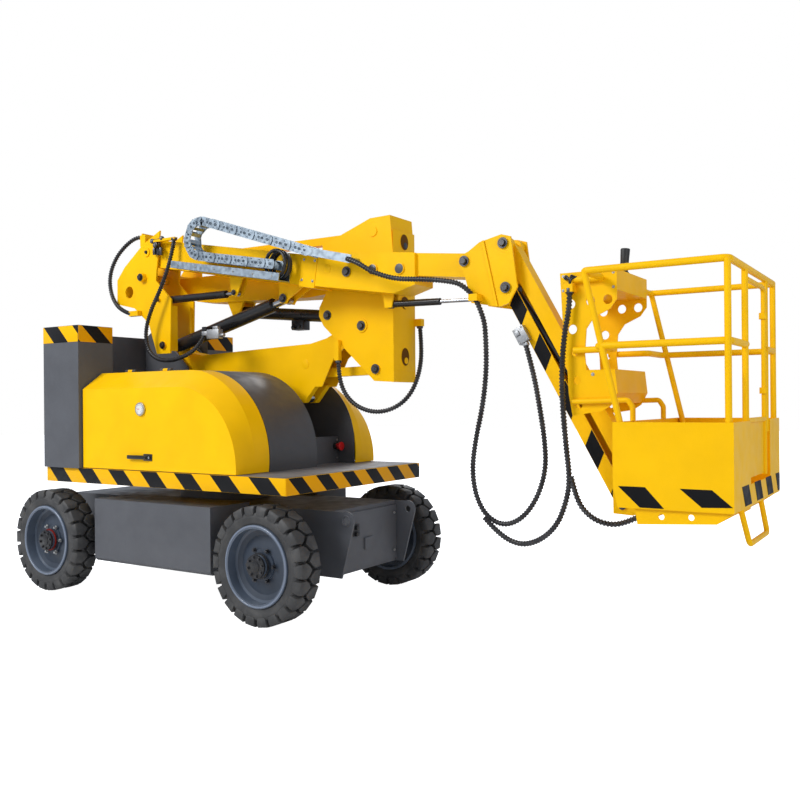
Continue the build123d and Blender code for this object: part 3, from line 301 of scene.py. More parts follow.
YELLOW = (0.97, 0.535, 0.001)
yellow_paint = paint("yellow_enamel", YELLOW)
grey_paint = paint("grey_enamel", (0.088, 0.092, 0.102), roughness=0.42, mottle=0.1, shine=0.4)
cover_paint = paint("cover_enamel", (0.064, 0.064, 0.068), roughness=0.4, mottle=0.06, shine=0.5, peel=0)
rim_paint = paint("rim_enamel", (0.085, 0.108, 0.145), roughness=0.34, mottle=0.12, coat=0.2, shine=0.5)
black_paint = paint("black_enamel", (0.012, 0.012, 0.013), roughness=0.3, mottle=0.2, shine=0.5)
band_black = paint("band_enamel", (0.008, 0.008, 0.009), roughness=0.45, mottle=0.2, shine=0.1)
# A darker copy of the rim paint for the rim's disc: painted shade of the deep dish.
disc_shade_paint = paint("rim_disc_painted_shade", (0.045, 0.058, 0.08), roughness=0.4, mottle=0.15, shine=0.4)
# A lighter copy of the rim paint for the rim's bead: painted highlight on the lip.
lip_highlight_paint = paint("rim_lip_painted_highlight", (0.17, 0.205, 0.27), roughness=0.3, mottle=0.1, coat=0.2, shine=0.5)
red_paint = paint("red_oxide", (0.17, 0.012, 0.008), roughness=0.45, mottle=0.2)
shadow_paint = paint("shadow_enamel", (0.13, 0.055, 0.004), roughness=0.6, shine=0.1)
button_red = paint("button_red", (0.62, 0.012, 0.012), roughness=0.35, mottle=0.05, shine=0.4)
deck_paint = paint("deck_enamel", (0.15, 0.145, 0.145), roughness=0.5, mottle=0.15, shine=0.4)
tread_rubber = rubber("tread_rubber", (0.036, 0.036, 0.036), 0.6, 260.0, (0.09, 0.088, 0.084))
hose_rubber = rubber("hose_rubber", (0.016, 0.016, 0.018), 0.34, 500.0, (0.055, 0.055, 0.058))
grip_rubber = rubber("grip_rubber", (0.013, 0.013, 0.014), 0.5, 700.0, (0.03, 0.03, 0.03))
zinc = metal("zinc_plate", (0.36, 0.43, 0.49), 0.4, 38.0, 0.09)
# A darker copy of the zinc for the track's rivets: painted shade.
rivet_shade_zinc = metal("rivet_shade_zinc", (0.13, 0.16, 0.19), 0.36, 90.0)
bolt_steel = metal("bolt_steel", (0.5, 0.5, 0.49), 0.32, 200.0)
dark_steel = metal("dark_steel", (0.09, 0.09, 0.095), 0.38, 120.0)
aluminium = metal("cast_aluminium", (0.4, 0.41, 0.42), 0.5, 130.0, 0.08)
dial_face = surface("dial_face", (0.75, 0.75, 0.72), 0.35)[0]
rod_chrome = metal("rod_chrome", (0.5, 0.51, 0.53), 0.2, 40.0, 0.05)


# Hoses: points in the drawings' millimetres, as in the part

HOSE_DIAMETER = 0.030
HOSE_ROUTES = {
    "hose_rear": [
        (-708, -20, 2396), (-782, -50, 2413), (-874, -80, 2368), (-970, -110, 2267), (-1022, -128, 2126),
        (-989, -130, 1979), (-891, -128, 1879), (-786, -124, 1852),
    ],
    "hose_lift": [
        (-342, -124, 2330), (-350, -146, 2190), (-432, -168, 1989), (-522, -180, 1845), (-575, -182, 1691),
        (-526, -184, 1552), (-366, -184, 1499), (-182, -172, 1530), (-84, -140, 1602), (-55, -118, 1683),
    ],
    "hose_knuckle": [
        (868, 118, 1482), (876, 114, 1372), (926, 112, 1262), (1022, 116, 1184), (1149, 136, 1150),
        (1263, 176, 1179), (1340, 226, 1258), (1363, 290, 1388), (1338, 360, 1539), (1308, 383, 1693),
    ],
    "hose_fly": [
        (1221, -232, 2035), (1296, -236, 2008), (1388, -224, 1946), (1531, -200, 1897), (1683, -182, 1887),
        (1838, -164, 1868), (1942, -150, 1840), (1990, -142, 1780),
    ],
    "hose_jib": [
        (2012, -140, 1752), (2060, -140, 1660), (2071, -142, 1540), (2075, -146, 1380), (2054, -150, 1195),
        (2010, -155, 1010), (1990, -160, 851), (2019, -170, 711), (2089, -180, 611), (2189, -180, 571),
        (2293, -180, 613), (2374, -170, 718), (2416, -150, 865), (2402, -132, 1015), (2362, -108, 1193),
        (2318, -84, 1365), (2266, -70, 1518),
    ],
    "hose_basket": [
        (2095, -215, 612), (2176, -220, 536), (2301, -230, 487), (2421, -245, 520), (2523, -262, 604),
        (2576, -270, 720), (2600, -276, 833), (2584, -278, 977), (2566, -276, 1169), (2560, -272, 1363),
        (2572, -264, 1540), (2596, -256, 1660), (2598, -255, 1741),
    ],
    "hose_floor": [
        (2606, -276, 850), (2626, -264, 742), (2674, -240, 664), (2744, -208, 622), (2820, -166, 618),
        (2880, -98, 652),
    ],
}
RIB_PITCH = 0.017
RIB_PROFILE = (1.0, 1.0, 0.74, 0.74)
HOSE_SIDES = 10


def centreline(points):
    """Points along the smooth line that a NURBS spline draws from a route."""
    curve = bpy.data.curves.new("route", "CURVE")
    curve.dimensions = "3D"
    curve.resolution_u = 40
    spline = curve.splines.new("NURBS")
    spline.points.add(len(points) - 1)
    for control, point in zip(spline.points, points):
        control.co = (*at(*point), 1)
    spline.order_u = 3
    spline.use_endpoint_u = True
    route = bpy.data.objects.new("route", curve)
    bpy.context.scene.collection.objects.link(route)
    bpy.context.view_layer.update()
    mesh = bpy.data.meshes.new_from_object(route.evaluated_get(bpy.context.evaluated_depsgraph_get()))
    line = [vertex.co.copy() for vertex in mesh.vertices]
    bpy.data.objects.remove(route)
    bpy.data.meshes.remove(mesh)
    return line


def evenly(line, step):
    """The same line walked in equal steps."""
    walked = [line[0]]
    left = step
    for start, end in zip(line, line[1:]):
        run = (end - start).length
        done = 0.0
        while run - done >= left:
            done += left
            walked.append(start.lerp(end, done / run))
            left = step
        left -= run - done
    if (walked[-1] - line[-1]).length < step * 0.5:
        walked.pop()
    return walked + [line[-1]]


def ribbed_hose(name, points):
    """A tube with a raised rib all along it, closed at both ends."""
    path = evenly(centreline(points), RIB_PITCH / 4)
    vertices, faces = [], []
    side = Vector((0.3, 1, 0.2))
    for number, point in enumerate(path):
        ahead = path[min(number + 1, len(path) - 1)] - path[max(number - 1, 0)]
        ahead.normalize()
        side = (side - ahead * side.dot(ahead)).normalized()
        other = ahead.cross(side)
        radius = HOSE_DIAMETER / 2 * RIB_PROFILE[number % 4]
        for turn in range(HOSE_SIDES):
            angle = 2 * pi * turn / HOSE_SIDES
            vertices.append(point + (side * cos(angle) + other * sin(angle)) * radius)
    for ring in range(len(path) - 1):
        for turn in range(HOSE_SIDES):
            a = ring * HOSE_SIDES + turn
            b = ring * HOSE_SIDES + (turn + 1) % HOSE_SIDES
            faces.append((a, b, b + HOSE_SIDES, a + HOSE_SIDES))
    faces.append(tuple(reversed(range(HOSE_SIDES))))
    faces.append(tuple(range(len(vertices) - HOSE_SIDES, len(vertices))))
    mesh = bpy.data.meshes.new(name)
    mesh.from_pydata(vertices, [], faces)
    hose = bpy.data.objects.new(name + "_ribbed", mesh)
    bpy.context.scene.collection.objects.link(hose)
    alone(hose)
    bpy.ops.object.shade_smooth_by_angle(angle=radians(38))
    hose.data.materials.append(hose_rubber)
    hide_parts(name)
    return hose


hoses = {name: ribbed_hose(name, points) for name, points in HOSE_ROUTES.items()}
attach(hoses["hose_rear"], "rear_knuckle")
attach(hoses["hose_knuckle"], "mid_knuckle")
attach(hoses["hose_basket"], "basket")
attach(hoses["hose_floor"], "basket")
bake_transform(hoses["hose_lift"])
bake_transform(hoses["hose_fly"])
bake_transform(hoses["hose_jib"])


# Paint on the carried pieces

GREY_PIECES = (
    "chassis_frame", "side_boxes", "end_covers", "axles", "steer_knuckle", "counterweight", "power_pack",
    "arm_bracket",
)
# Radius within which the rim's disc faces take the painted shade.
SHADED_DISC_R = 0.19
for name, node in nodes.items():
    if name.startswith(("hose_", "tyre_")):
        continue
    if name.startswith(GREY_PIECES):
        material = grey_paint
    elif name == "hood_cover":
        material = cover_paint
    elif name.startswith("rim_"):
        material = rim_paint
    elif name.endswith("_barrel"):
        material = black_paint
    elif name.endswith("_rod"):
        material = rod_chrome
    elif name.startswith("track_") or name == "cable_tray":
        material = zinc
    else:
        material = yellow_paint
    node.data.materials.clear()
    node.data.materials.append(material)
    # Faces of the rim's disc within this radius take the darker rim paint, painted shade of the deep dish.
    if name.startswith("rim_"):
        node.data.materials.append(disc_shade_paint)
        low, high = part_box(name)
        middle = (Vector(low) + Vector(high)) / 2
        for face in node.data.polygons:
            away = face.center - middle
            if abs(face.normal.y) > 0.7 and hypot(away.x, away.z) < SHADED_DISC_R:
                face.material_index = 1


# Tyres

LUGS = 22
TREAD_R = 0.330
GROOVE_R = 0.297
TYRE_HALF = 0.0825
RIM_SEAT_R = 0.228


def on_tread(radius, turn, y):
    """A point at a radius, a share of one lug's pitch, and a place across the tyre."""
    angle = turn * 2 * pi / LUGS
    return Vector((radius * sin(angle), y, radius * cos(angle)))


def carcass():
    """The tyre's body under the lugs, spun from its section."""
    section = [
        (RIM_SEAT_R, 0.070), (RIM_SEAT_R + 0.012, 0.0765), (RIM_SEAT_R + 0.028, 0.0775), (0.262, 0.0805),
        (0.276, 0.0805), (0.289, 0.0745), (GROOVE_R, 0.062), (GROOVE_R, 0.0),
    ]
    section += [(radius, -y) for radius, y in reversed(section[:-1])]
    bpy.ops.mesh.primitive_circle_add(vertices=len(section), radius=0.1, fill_type="NOTHING")
    body = bpy.context.object
    for vertex, (radius, y) in zip(body.data.vertices, section):
        vertex.co = (0, y, radius)
    bpy.ops.object.mode_set(mode="EDIT")
    bpy.ops.mesh.select_all(action="SELECT")
    bpy.ops.mesh.spin(steps=66, angle=2 * pi, center=(0, 0, 0), axis=(0, 1, 0))
    bpy.ops.object.mode_set(mode="OBJECT")
    face_out(body)
    bpy.ops.object.shade_smooth_by_angle(angle=radians(30))
    return body


def lug(side):
    """One tread block, from its tip at the middle groove out over the shoulder."""
    top = [
        (0.0, -0.007), (0.27, 0.012), (0.44, 0.034), (0.39, 0.0735), (-0.39, 0.0735), (-0.44, 0.034),
        (-0.27, 0.012),
    ]
    corners = [(TREAD_R, turn, y) for turn, y in top]
    corners += [(GROOVE_R - 0.004, turn * 1.05, y) for turn, y in top]
    corners += [(0.314, turn, TYRE_HALF) for turn in (0.37, -0.37)]
    corners += [(0.278, turn, TYRE_HALF) for turn in (0.34, -0.34)]
    corners += [(0.274, turn, TYRE_HALF - 0.010) for turn in (0.34, -0.34)]
    bpy.ops.mesh.primitive_circle_add(vertices=len(corners), radius=0.1, fill_type="NOTHING")
    piece = bpy.context.object
    for vertex, (radius, turn, y) in zip(piece.data.vertices, corners):
        vertex.co = on_tread(radius, turn, y * side)
    bpy.ops.object.mode_set(mode="EDIT")
    bpy.ops.mesh.select_all(action="SELECT")
    bpy.ops.mesh.convex_hull()
    bpy.ops.object.mode_set(mode="OBJECT")
    face_out(piece)
    return soften(piece, 0.0016, 1)


def tyre():
    rows = []
    for side, start in ((1, 0.0), (-1, 0.5)):
        places = [Matrix.Rotation((number + start) * 2 * pi / LUGS, 4, "Y") for number in range(LUGS)]
        rows.append(copies("row", lug(side), places))
    return joined("tyre", carcass(), *rows)


tyre_model = tyre()
AXLE_Z = 330
WHEELS = {
    "rear_near": (-936, -608.5), "rear_far": (-936, 608.5),
    "front_near": (936, -608.5), "front_far": (936, 608.5),
}
for corner, (x, y) in WHEELS.items():
    fitted = tyre_model.copy()
    fitted.data = tyre_model.data.copy()
    fitted.name = f"lugged_tyre_{corner}"
    bpy.context.scene.collection.objects.link(fitted)
    fitted.data.transform(Matrix.Translation(at(x, y, AXLE_Z)))
    finish_as(fitted, tread_rubber, f"wheel_{corner}")
    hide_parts(f"tyre_{corner}")
bpy.data.objects.remove(tyre_model)


def hexagon_bolt(radius, height):
    """A hexagon head on its washer, about the Z axis, standing on its seat at the origin."""
    bpy.ops.mesh.primitive_cylinder_add(
        vertices=24, radius=radius * 1.45, depth=height * 0.3, location=(0, 0, height * 0.15)
    )
    washer = seat(bpy.context.object)
    bpy.ops.mesh.primitive_cylinder_add(
        vertices=6, radius=radius, depth=height * 0.8, location=(0, 0, height * 0.65)
    )
    head = seat(bpy.context.object)
    soften(head, radius * 0.12, 1)
    return joined("bolt", head, washer)


def facing(direction):
    """A turn that points a bolt's Z axis along a direction."""
    return Vector(direction).to_track_quat("Z", "Y").to_matrix().to_4x4()


def bolts(name, radius, height, spots, direction, body, material=bolt_steel):
    """Bolt heads at points of the drawings, all facing one way; sizes in millimetres."""
    model = hexagon_bolt(radius / 1000, height / 1000)
    turn = facing(direction)
    row = copies(name, model, [Matrix.Translation(at(*spot)) @ turn for spot in spots])
    return finish_as(row, material, body)


def ring_spots(x, y, z, radius, count, start=0.0):
    """Points on a circle across the machine."""
    angles = [start + 2 * pi * number / count for number in range(count)]
    return [(x + radius * cos(angle), y, z + radius * sin(angle)) for angle in angles]


for corner, (x, y) in WHEELS.items():
    side = 1 if y > 0 else -1
    body = f"wheel_{corner}"
    drive = corner.startswith("rear")
    hub = drum(f"hub_{corner}", (x, y + side * 55, AXLE_Z), 58, 40, sides=40, edge=0.003)
    lip = drum(f"hub_lip_{corner}", (x, y + side * 50, AXLE_Z), 72, 8, sides=40, edge=0.002)
    cap = drum(f"hub_cap_{corner}", (x, y + side * 79, AXLE_Z), 32, 12, sides=32, edge=0.003)
    flange = drum(f"hub_flange_{corner}", (x, y + side * 77, AXLE_Z), 66, 9, sides=40, edge=0.002)
    finish_as(joined(f"hub_{corner}", hub, lip), red_paint if drive else black_paint, body)
    finish_as(joined(f"hub_flange_{corner}", flange, cap), black_paint, body)
    outward = (0, side, 0)
    heads = ring_spots(x, y + side * 81, AXLE_Z, 52, 8, 0.2)
    bolts(f"hub_bolts_{corner}", 7, 9, heads, outward, body, dark_steel)
    nuts = ring_spots(x, y + side * 34, AXLE_Z, 94, 6)
    bolts(f"wheel_nuts_{corner}", 9, 16, nuts, outward, body, bolt_steel if drive else dark_steel)
    # A bead round each rim in the lighter rim paint, a painted highlight.
    bpy.ops.mesh.primitive_torus_add(
        major_segments=64, minor_segments=10, major_radius=0.219, minor_radius=0.006,
        location=at(x, y + side * 79, AXLE_Z), rotation=(pi / 2, 0, 0),
    )
    bead = bpy.context.object
    bead.name = f"rim_bead_{corner}"
    seat(bead)
    bpy.ops.object.shade_smooth()
    finish_as(bead, lip_highlight_paint, body)


# Hazard bands

BAND = 2.0
DECK_EDGE_Z = (717, 809.5)
WING_TOP_Z = (1620, 1725)
side_hazard = hazard("side_hazard", (1, 0, 1), 0.150 * 2, 0.49)
# The bands on the deck ends and the wing fronts and backs take a darker yellow than the side bands: painted
# shade on faces that look along X.
end_hazard_painted_shade = hazard("end_hazard_painted_shade", (0, 1, 1), 0.113 * 2, 0.70, (0.80, 0.36, 0.001))
for side, name in ((-1, "near"), (1, "far")):
    low, high = sorted((side * 643.2, side * (643.2 + BAND)))
    band = block(f"deck_band_{name}", (-976, 1120), (low, high), DECK_EDGE_Z, 0.0006)
    finish_as(band, side_hazard, "turret")
for name, x in (("front", (1121.2, 1121.2 + BAND)), ("rear", (-977.2 - BAND, -977.2))):
    band = block(f"deck_band_{name}", x, (-642, 642), DECK_EDGE_Z, 0.0006)
    finish_as(band, end_hazard_painted_shade, "turret")
for side, name in ((-1, "near"), (1, "far")):
    low, high = sorted((side * 664.2, side * (664.2 + BAND)))
    outer = block(f"wing_band_{name}", (-976, -613), (low, high), WING_TOP_Z, 0.0006)
    finish_as(outer, side_hazard, "turret")
    span = sorted((side * 412, side * 663))
    front = block(f"wing_front_band_{name}", (-611.8, -611.8 + BAND), span, WING_TOP_Z, 0.0006)
    finish_as(front, end_hazard_painted_shade, "turret")
    rear = block(f"wing_rear_band_{name}", (-977.2 - BAND, -977.2), span, WING_TOP_Z, 0.0006)
    finish_as(rear, end_hazard_painted_shade, "turret")
deck = block("deck_mat", (-600, 1112), (-634, 634), (810.3, 812.6), 0.0008)
finish_as(deck, deck_paint, "turret")


# Hood fittings

ring = drum("gauge_ring", (-43, -645, 1186), 41, 16, sides=48, edge=0.004)
finish_as(ring, bolt_steel, "near_hood")
dial = drum("gauge_dial", (-43, -653.4, 1186), 31, 1.4, sides=48, edge=0.0003)
finish_as(dial, dial_face, "near_hood")
dial_middle = Matrix.Translation(at(-43, -654.4, 1186))
to_edge = Matrix.Translation(Vector((0, 0, 0.024)) - at(0, 0, 0))
marks = copies(
    "gauge_marks", block("mark", (-1, 1), (-0.4, 0.4), (-3, 3), 0.0001),
    [dial_middle @ Matrix.Rotation(radians(angle), 4, "Y") @ to_edge for angle in range(-130, 131, 26)],
)
finish_as(marks, black_paint, "near_hood")
needle = block("gauge_needle", (-61, -40), (-655.6, -654.6), (1184.4, 1187.6), 0.0003)
finish_as(needle, button_red, "near_hood")
latch = joined(
    "hood_latch",
    block("latch_plate", (-20, 56), (-646, -639.5), (874, 916), 0.004),
    block("latch_lever", (-150, 20), (-664, -652), (883, 907), 0.005),
    block("latch_neck", (-6, 24), (-656, -644), (884, 906), 0.003),
    drum("latch_lock", (36, -648, 895), 12, 10, sides=24, edge=0.002),
)
finish_as(latch, black_paint, "near_hood")
lock = drum("latch_key", (36, -653.4, 895), 7, 2, sides=24, edge=0.0005)
finish_as(lock, bolt_steel, "near_hood")
stop_collar = drum("stop_collar", (616, 400, 925), 24, 18, "x", 32, 0.002)
finish_as(stop_collar, black_paint, "turret")
bpy.ops.mesh.primitive_cone_add(
    vertices=32, radius1=0.017, radius2=0.030, depth=0.040, location=at(644, 400, 925),
    rotation=(0, pi / 2, 0),
)
stop = bpy.context.object
stop.name = "stop_button"
seat(stop)
finish_as(soften(stop, 0.005, 3), button_red, "turret")
panel_spots = [(608.2, y, z) for y in (60, 418) for z in (845, 965)]
bolts("panel_screws", 6, 5, panel_spots, (1, 0, 0), "turret", bolt_steel)

LINING_FRONT_X = 743
LINING_R = 455
LINING_ROUND_Z = 956
lining_edge = [(LINING_FRONT_X, 812)]
for step in range(0, 91, 6):
    angle = radians(step)
    lining_edge.append(
        (LINING_FRONT_X - LINING_R + LINING_R * cos(angle), LINING_ROUND_Z + LINING_R * sin(angle))
    )
lining_edge += [(-500, 1411), (-500, 812)]
lining = outline("far_lining", [at(x, 434, z) for x, z in lining_edge], 0.004, (0, -1, 0))
finish_as(lining, cover_paint, "turret")
knob = joined(
    "cover_lock",
    block("lock_plate", (1189, 1193), (-160, -100), (436, 508), 0.004),
    drum("lock_barrel", (1198, -128, 486), 15, 16, "x", 28, 0.003),
    block("lock_pull", (1192, 1208), (-146, -112), (436, 462), 0.005),
)
finish_as(knob, black_paint, "chassis")


# Cable track

LINK_PITCH = 0.060
PLATE_TALL = 0.029
LINK_HALF_Y = 0.0425
BOOM_SLOPE = radians(9.8)
BOOM_PIVOT = (-640, 2274)
BEND_U = 640
BEND_R = 113
RUN_START_U = BEND_U + 6
RUN_V = 6
TRACK_Y = -180
LINK_RIVETS = ((-0.024, 0, 0.0085), (0.0105, 0, 0.0085), (0, 0.019, 0.0035), (0, -0.019, 0.0035))


def boom_point(u, v):
    """X and Z of a point given along and above the outer boom's axis."""
    return (
        BOOM_PIVOT[0] + u * cos(BOOM_SLOPE) + v * sin(BOOM_SLOPE),
        BOOM_PIVOT[1] - u * sin(BOOM_SLOPE) + v * cos(BOOM_SLOPE),
    )


def track_link():
    """One link at the origin, running along X: two side plates with rivets, and two cross bars."""
    half = LINK_PITCH / 2
    rounded = [
        (half + 0.010 * cos(turn), PLATE_TALL * sin(turn)) for turn in (pi * (n / 6 - 0.5) for n in range(7))
    ]
    rounded += [(-x, -z) for x, z in rounded]
    parts = []
    for side in (-1, 1):
        y = side * LINK_HALF_Y
        plate = outline("plate", [(x, y, z) for x, z in rounded], 0.003, (0, -side, 0))
        plate.data.materials.append(zinc)
        parts.append(plate)
        for x, z, radius in LINK_RIVETS:
            bpy.ops.mesh.primitive_cylinder_add(
                vertices=14, radius=radius, depth=0.003, location=(x, y + side * 0.0012, z),
                rotation=(pi / 2, 0, 0),
            )
            rivet = soften(seat(bpy.context.object), 0.0008, 1)
            # The rivets take the darker zinc, painted shade.
            rivet.data.materials.append(rivet_shade_zinc)
            parts.append(rivet)
    for z in (-0.023, 0.023):
        bpy.ops.mesh.primitive_cube_add(size=1, location=(0, 0, z))
        bar = bpy.context.object
        bar.scale = (0.024, 2 * LINK_HALF_Y - 0.004, 0.003)
        bar.data.materials.append(zinc)
        parts.append(seat(bar))
    return joined("link", *parts)


def link_run(name, corners):
    """Links end to end along a chain of X, Z corners, one link from each corner to the next."""
    places = []
    for start, end in zip(corners, corners[1:]):
        first = at(start[0], TRACK_Y, start[1])
        last = at(end[0], TRACK_Y, end[1])
        run = last - first
        turn = Matrix.Rotation(-atan2(run.z, run.x), 4, "Y")
        aside = Matrix.Diagonal((run.length / LINK_PITCH, 1 + 0.12 * (len(places) % 2), 1, 1))
        places.append(Matrix.Translation((first + last) / 2) @ turn @ aside)
    return copies(name, track_link(), places)


def shared_out(start, end, count):
    """Corners that share the run between two points out into equal lengths."""
    return [
        (start[0] + (end[0] - start[0]) * n / count, start[1] + (end[1] - start[1]) * n / count)
        for n in range(count + 1)
    ]


low_start = boom_point(RUN_START_U, RUN_V)
low_end = boom_point(1300, RUN_V)
high_start = boom_point(RUN_START_U, RUN_V + 2 * BEND_R)
high_end = (925, 2109)
lower_run = link_run("track_lower_links", shared_out(low_start, low_end, 9))
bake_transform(lower_run)
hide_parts("track_lower")
bend_corners = []
for number in range(7):
    angle = pi / 2 + pi * number / 6
    u = BEND_U + BEND_R * cos(angle)
    bend_corners.append(boom_point(u, RUN_V + BEND_R + BEND_R * sin(angle)))
bend_run = link_run("track_bend_links", bend_corners)
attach(bend_run, "track_bend")
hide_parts("track_bend")
upper_links = link_run("track_upper_links", shared_out(high_start, high_end, 12))
arm_outline = [(872, 2098), (905, 2136), (1247, 2056), (1247, 2012), (1232, 2010)]
arm_plate = outline("track_arm", [at(x, -230, z) for x, z in arm_outline], 0.0065, (0, 1, 0))
foot_outline = [(1110, 2046), (1110, 2076), (1205, 2054), (1205, 2024)]
arm_foot = outline("track_foot", [at(x, -225, z) for x, z in foot_outline], 0.130, (0, 1, 0))
for plate in (arm_plate, arm_foot):
    plate.data.materials.append(zinc)
upper_run = joined("track_upper_links", upper_links, arm_plate, arm_foot)
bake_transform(upper_run)
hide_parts("track_upper")


# Pins, bolts and fittings on the arms


def drill(piece, x, z, radius, y):
    """Cuts a round hole across the machine through a plate."""
    bpy.ops.mesh.primitive_cylinder_add(
        vertices=32, radius=radius / 1000, depth=(y[1] - y[0]) / 1000, location=at(x, sum(y) / 2, z),
        rotation=(pi / 2, 0, 0),
    )
    cutter = seat(bpy.context.object)
    alone(piece)
    cut = piece.modifiers.new("hole", "BOOLEAN")
    cut.operation = "DIFFERENCE"
    cut.object = cutter
    bpy.ops.object.modifier_apply(modifier=cut.name)
    bpy.data.objects.remove(cutter)
    return piece


NEAR = (0, -1, 0)
FAR = (0, 1, 0)
knee_spots = [(1048, 121, 1689), (1154, 121, 1419), (776, 127, 1770)]
bolts("knee_bolts", 21, 16, knee_spots, NEAR, "mid_knuckle", dark_steel)
knee_far_spots = [(1048, 369, 1689), (1154, 369, 1419), (1120, 369, 2090)]
bolts("knee_bolts_far", 17, 15, knee_far_spots, FAR, "mid_knuckle", dark_steel)
bolts("tail_bolts", 18, 15, [(-676, -135, 2100), (-477, -115, 1620)], NEAR, "rear_knuckle", dark_steel)
bolts("tail_small_bolts", 9, 10, [(-520, -115, 1935), (-640, -113, 2274)], NEAR, "rear_knuckle", dark_steel)
bolts("tail_bolts_far", 15, 14, [(-676, 369, 2100), (-656, 369, 2270)], FAR, "rear_knuckle", dark_steel)
bolts("boom_lug_bolt", 20, 15, [(544, -28, 1878)], NEAR, "boom", dark_steel)
bolts("master_lug_bolt", 13, 12, [(178, -91, 1935)], NEAR, "boom", dark_steel)
bolts("nose_bolt", 21, 15, [(1111, -100, 1988)], NEAR, "fly", dark_steel)
head_pins = [(1920, -106, 1973), (2156, -106, 2047), (2170, -106, 1812)]
bolts("head_bolts", 20, 17, head_pins, NEAR, "head", dark_steel)
bolts("head_bolts_far", 15, 15, [(x, -y, z) for x, y, z in head_pins], FAR, "head", dark_steel)
carrier_pins = [(2800, -105, 700), (2786, -105, 935)]
bolts("carrier_bolts", 13, 12, carrier_pins, NEAR, "basket", dark_steel)
bolts("carrier_bolts_far", 13, 12, [(x, -y, z) for x, y, z in carrier_pins], FAR, "basket", dark_steel)
bolts("riser_lug_bolt", 16, 14, [(515, 212, 1255)], NEAR, "lower_arm", dark_steel)
for x, z, across in ((1301, 1984, 34), (1490, 1972, 33)):
    rim = drum(f"nose_ring_{x}", (x, -101, z), across, 4, sides=40, edge=0.001)
    finish_as(rim, yellow_paint, "fly")
    # A dark disc inside each ring stands for the hole's interior: painted shade.
    hole_shade = drum(f"nose_hole_shade_{x}", (x, -103.4, z), across - 5, 1.2, sides=32, edge=0.0002)
    finish_as(hole_shade, black_paint if x < 1400 else cover_paint, "fly")
disc = drum("nose_disc", (962, -95.6, 2018), 26, 3, sides=40, edge=0.001)
finish_as(disc, yellow_paint, "fly")
for name, spot, radius, body in (
    ("arm_disc", (553, 169.5, 1468), 30, "lower_arm"),
    ("knee_disc", (1140, 126.5, 2260), 26, "mid_knuckle"),
):
    disc = drum(name, spot, radius, 5, sides=40, edge=0.0015)
    finish_as(disc, yellow_paint, body)
collar_spots = [boom_point(u, v) for u in (1428, 1514) for v in (-62, 62)]
bolts("collar_screws", 6, 5, [(x, -90.2, z) for x, z in collar_spots], NEAR, "boom", bolt_steel)
tray_spots = [boom_point(u, -66) for u in (470, 640, 810, 980, 1150, 1310)]
bolts("tray_screws", 5, 4, [(x, -229.2, z) for x, z in tray_spots], NEAR, "boom", bolt_steel)

JIB_PIN = (2170, 1812)
JIB_DIRECTION = atan2(700 - 1812, 2800 - 2170)


def jib_point(u, v):
    """X and Z of a point along the lower jib member and across it."""
    return (
        JIB_PIN[0] + u * cos(JIB_DIRECTION) - v * sin(JIB_DIRECTION),
        JIB_PIN[1] + u * sin(JIB_DIRECTION) + v * cos(JIB_DIRECTION),
    )


STRIPE_TOP = 28
STRIPE_FOOT = -43.5
STRIPE_WIDTH = 132
STRIPE_SLANT = 56
stripes = [(u, u + STRIPE_WIDTH, u + STRIPE_WIDTH + STRIPE_SLANT) for u in (21, 298, 584, 870)]
stripes.append((1140, 1224, 1224))
for number, (start, top_end, foot_end) in enumerate(stripes):
    corners = [
        jib_point(start, STRIPE_TOP), jib_point(top_end, STRIPE_TOP),
        jib_point(foot_end, STRIPE_FOOT), jib_point(start + STRIPE_SLANT, STRIPE_FOOT),
    ]
    stripe = outline(f"jib_stripe_{number}", [at(x, -52.1, z) for x, z in corners], 0.0012, NEAR)
    finish_as(stripe, band_black, "jib")


def jib_block(name, u, v, y, edge=0.002):
    """A rounded block lying along the jib."""
    bpy.ops.mesh.primitive_cube_add(size=1)
    piece = bpy.context.object
    piece.name = name
    piece.scale = ((u[1] - u[0]) / 1000, (y[1] - y[0]) / 1000, (v[1] - v[0]) / 1000)
    seat(piece)
    x, z = jib_point((u[0] + u[1]) / 2, (v[0] + v[1]) / 2)
    tilt = Matrix.Rotation(-JIB_DIRECTION, 4, "Y")
    piece.data.transform(Matrix.Translation(at(x, (y[0] + y[1]) / 2, z)) @ tilt)
    return soften(piece, edge)


KNEE_FRONT_X = 1286.8
KNEE_Y = 247
SLOT_HALF_Y = 44
knee_face = block("knee_face", (KNEE_FRONT_X - 0.8, KNEE_FRONT_X), (129, 361), (1405, 2262), 0.0002)
finish_as(knee_face, yellow_paint, "mid_knuckle")
for z, tall in ((2197, 104), (1824, 84), (1493, 118)):
    oval = []
    for n in range(32):
        turn = 2 * pi * n / 32
        oval.append(at(KNEE_FRONT_X, KNEE_Y + SLOT_HALF_Y * cos(turn), z + tall / 2 * sin(turn)))
    rim = outline(f"knee_slot_rim_{z}", oval, 0.0025, (1, 0, 0))
    finish_as(rim, yellow_paint, "mid_knuckle")
    middle = at(KNEE_FRONT_X, KNEE_Y, z)
    inner = [middle + Vector((0.0025, 0, 0)) + (point - middle) * 0.93 for point in oval]
    dark = outline(f"knee_slot_{z}", inner, 0.0008, (1, 0, 0))
    finish_as(dark, shadow_paint, "mid_knuckle")
    pin = drum(f"knee_slot_pin_{z}", (1290.8, 256, z - tall * 0.2), 20, 2.4, "x", 28, 0.0008)
    finish_as(pin, yellow_paint if z < 2000 else dark_steel, "mid_knuckle")
fold_edge = ((2026, 2068), (2042, 2074), (2125, 1716), (2112, 1719))
fold = outline("head_fold", [at(x, -106, z) for x, z in fold_edge], 0.002, NEAR)
finish_as(soften(fold, 0.0008, 1), yellow_paint, "head")
coils = []
